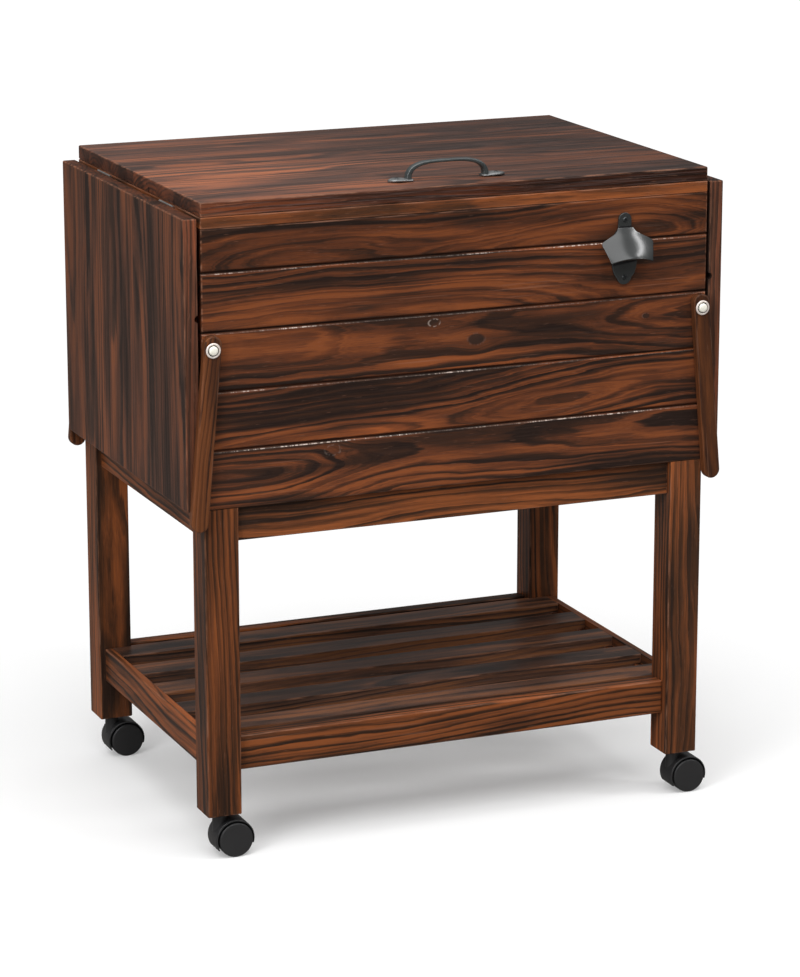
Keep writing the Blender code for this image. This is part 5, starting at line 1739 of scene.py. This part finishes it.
@dataclass
class TubAndLiner:
    """The plastic tub, its plug, the lid's liner and the foam, with their edges shaded round."""

    double: float = 0.00002
    flat_over: float = 0.0012

    def round_copy(self, node: str, material: bpy.types.Material, body: str, slot: str) -> None:
        """Copy a node with its doubles merged and its round corners shaded smooth.

        Args:
            node: the node to stand for.
            material: its material.
            body: the body that it rides on.
            slot: its finish's slot in the record.
        """
        shape = bmesh.new()
        shape.from_mesh(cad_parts[node].data)
        bmesh.ops.remove_doubles(shape, verts=shape.verts, dist=self.double)
        bmesh.ops.dissolve_limit(shape, angle_limit=math.radians(1.0), verts=shape.verts, edges=shape.edges)
        hand_over(to_object(f"moulded_{node}", shape, [material], self.flat_over), body, slot, node)

    def build(self) -> None:
        """Build the copies and dress what keeps its mesh."""
        white = TUB_WHITE.material()
        self.round_copy("tub_liner", white, "cabinet", "white_plastic")
        self.round_copy("lid_liner", white, "lid", "white_plastic")
        self.round_copy("drain_plug", CASTER_BLACK.material(), "cabinet", "black_plastic")
        dress_node("insulation", FOAM.material())


@dataclass
class HingeWork:
    """The butt hinges behind the lid and on the leaves, with their screws: places, rows and plates."""

    lid_spread: float = 0.190
    lid_step: float = 0.022
    lid_rows: tuple[float, float] = (0.7235, 0.7405)
    lid_plate: float = 0.0015
    lid_screw: ScrewSize = ScrewSize(0.0024, 0.0008, 0.0005, 0.0005)
    leaf_spread: float = 0.108
    leaf_step: float = 0.015
    leaf_row: float = 0.7165
    leaf_gap: float = 0.004
    leaf_plate: float = 0.0012
    leaf_screw: ScrewSize = ScrewSize(0.0022, 0.0003, 0.0005, 0.0002)

    def row(self, spread: float, step: float) -> list[float]:
        """List the places of three screws in each of two hinges.

        Args:
            spread: how far from the middle the hinges lie.
            step: how far apart the screws are.

        Returns:
            The places along the hinges' edge, from the middle.
        """
        return [side * spread + shift for side in (-1, 1) for shift in (-step, 0.0, step)]

    def build(self, setter: ScrewSetter) -> None:
        """Dress the hinge halves and set their screws.

        Args:
            setter: sets the screws.
        """
        zinc, steel = ZINC.material(), SCREW_STEEL.material()
        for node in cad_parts:
            if "hinge" in node:
                dress_node(node, zinc)
        back = REAR_FACE + GAP + self.lid_plate
        for name, body, height in zip(("box", "lid"), ("cabinet", "lid"), self.lid_rows):
            seats = [((x, back, height), (0, 1, 0)) for x in self.row(self.lid_spread, self.lid_step)]
            setter.set_screws(f"lid_hinge_{name}_screws", seats, self.lid_screw, steel, body, "steel")
        on_box = []
        for side, x_side in SIDES.items():
            row = [MIDDLE_Y + y for y in self.row(self.leaf_spread, self.leaf_step)]
            near = x_side * (HALF_WIDTH + GAP + self.leaf_plate)
            far = x_side * (HALF_WIDTH + self.leaf_gap - GAP - self.leaf_plate)
            on_box += [((near, y, self.leaf_row), (x_side, 0, 0)) for y in row]
            on_leaf = [((far, y, self.leaf_row), (-x_side, 0, 0)) for y in row]
            setter.set_screws(f"leaf_hinge_{side}_leaf_screws", on_leaf, self.leaf_screw, steel, f"leaf_{side}",
                              "steel")
        setter.set_screws("leaf_hinge_box_screws", on_box, self.leaf_screw, steel, "cabinet", "steel")


# ---------------------------------------------------------------- the studio
@dataclass
class Studio:
    """A pale floor, a white surround, soft lights and the camera."""

    place: Corner = (-1.5824, -3.7953, 1.4212)
    azimuth: float = math.radians(22.80)
    pitch: float = math.radians(14.558)
    focal: float = 132.9
    sensor: float = 36.0
    clip: tuple[float, float] = (0.1, 100.0)
    floor_size: float = 14.0
    floor_drop: float = 0.0002
    floor_glow: tuple[float, float, float, float] = (0.30, 1.05, 0.24, 1.0)
    room_light: tuple[float, float, float, float] = (0.10, 0.90, 0.10, 0.90)

    def add_camera(self) -> None:
        """Add the camera that sees what the photograph sees."""
        data = bpy.data.cameras.new("camera")
        data.lens, data.sensor_width = self.focal, self.sensor
        data.clip_start, data.clip_end = self.clip
        camera = link_object("camera", data)
        camera.location = self.place
        camera.rotation_euler = (math.pi / 2 - self.pitch, 0, -self.azimuth)
        bpy.context.scene.camera = camera

    def add_floor(self) -> None:
        """Add the floor: it glows to the camera's eye, more so away from the cooler."""
        shape = bmesh.new()
        bmesh.ops.create_grid(shape, x_segments=2, y_segments=2, size=self.floor_size)
        bmesh.ops.translate(shape, vec=(0, 0, -self.floor_drop), verts=shape.verts)
        material, wiring, shader = start_material("studio_floor", {"Roughness": 0.9, "Specular IOR Level": 0.1})
        cloud = wiring.noise(wiring.here(), 3.0)
        wiring.feed(shader.inputs["Base Color"], wiring.blend(cloud, (0.93, 0.93, 0.93), (0.95, 0.95, 0.95)))
        shade = wiring.add("ShaderNodeBsdfDiffuse", {"Color": (0.30, 0.29, 0.28, 1)})
        glow = wiring.add("ShaderNodeEmission", {"Strength": 1.05})
        x, y, _ = wiring.split(wiring.here())
        far = wiring.calc("SQRT", wiring.plus(wiring.times(x, x), wiring.times(y, y)))
        seen = wiring.add("ShaderNodeMixShader", {0: wiring.ease(far, *self.floor_glow), 1: shader.outputs[0],
                                                  2: glow.outputs[0]})
        self.choose(wiring, shade.outputs[0], seen.outputs[0], material.node_tree.nodes["Material Output"])
        to_object("studio_floor", shape, [material])

    def choose(self, wiring: Wiring, unseen: Socket, seen: Socket, target: bpy.types.Node) -> None:
        """Show one shader to the camera and light the scene by another.

        Args:
            wiring: the tree's wiring.
            unseen: the shader that lights the scene.
            seen: the shader that the camera sees.
            target: the tree's output node.
        """
        ray = wiring.add("ShaderNodeLightPath").outputs["Is Camera Ray"]
        mix = wiring.add("ShaderNodeMixShader", {0: ray, 1: unseen, 2: seen})
        wiring.feed(target.inputs["Surface"], mix.outputs[0])

    def add_surround(self) -> None:
        """Add the surround: white behind the object, and a dim room with a bright ceiling for its light."""
        world = bpy.data.worlds.new("studio")
        bpy.context.scene.world = world
        world.use_nodes = True
        nodes, wiring = world.node_tree.nodes, Wiring(world.node_tree)
        nodes["Background"].inputs["Color"].default_value = (1, 1, 1, 1)
        nodes["Background"].inputs["Strength"].default_value = 1.1
        _, _, rise = wiring.split(wiring.add("ShaderNodeTexCoord").outputs["Generated"])
        room = wiring.add("ShaderNodeBackground", {"Strength": wiring.ease(rise, *self.room_light)})
        self.choose(wiring, room.outputs[0], nodes["Background"].outputs[0], nodes["World Output"])

    def add_light(self, name: str, place: Corner, size: tuple[float, float], power: float,
                  target: Corner = (0, 0, 0.4)) -> None:
        """Add a soft light.

        Args:
            name: the light's name.
            place: where it hangs.
            size: its width and height.
            power: its power in watts.
            target: where it points.
        """
        data = bpy.data.lights.new(name, "AREA")
        data.shape, data.size, data.size_y, data.energy = "RECTANGLE", size[0], size[1], power
        light = link_object(name, data)
        light.location = place
        light.rotation_euler = (Vector(target) - Vector(place)).to_track_quat("-Z", "Y").to_euler()

    def build(self) -> None:
        """Build the studio."""
        self.add_surround()
        self.add_camera()
        self.add_floor()
        self.add_light("overhead", (-0.4, -1.0, 2.7), (2.8, 2.8), 66.0)
        self.add_light("front_left", (-2.6, -2.0, 1.8), (1.3, 1.8), 46.0)
        self.add_light("front_right", (2.28, -1.40, 2.49), (0.26, 1.5), 20.0, (0.2, -0.22, 0.66))
        bpy.context.scene.view_settings.view_transform = "Standard"


def main() -> None:
    """Build the studio, then dress the cooler piece by piece."""
    logging.basicConfig(level=logging.INFO, format="%(name)s: %(message)s")
    Studio().build()
    dresser, setter = TimberDresser(), ScrewSetter()
    TimberCarcass(dresser).dress()
    ShelfSlats().build(dresser)
    # The groove round each bolt cap takes near-black painted shade.
    cap, steel, groove = BOLT_CAP.material(), BRIGHT_BOLT.material(), PAINTED_SHADE_BLACK.material()
    black, wheel, zinc = CASTER_BLACK.material(), WHEEL_BLACK.material(), ZINC.material()
    for end in ENDS:
        for side in SIDES:
            SwingArm(end, side).build(dresser)
            PivotBolt(end, side).build(cap, steel, groove)
            caster = TwinCaster(end, side)
            caster.hood(black)
            caster.wheels(wheel, zinc)
    BottleOpener().build(setter, groove)
    LidPull().build(setter)
    HingeWork().build(setter)
    TubAndLiner().build()


if __name__ == "__main__":
    main()
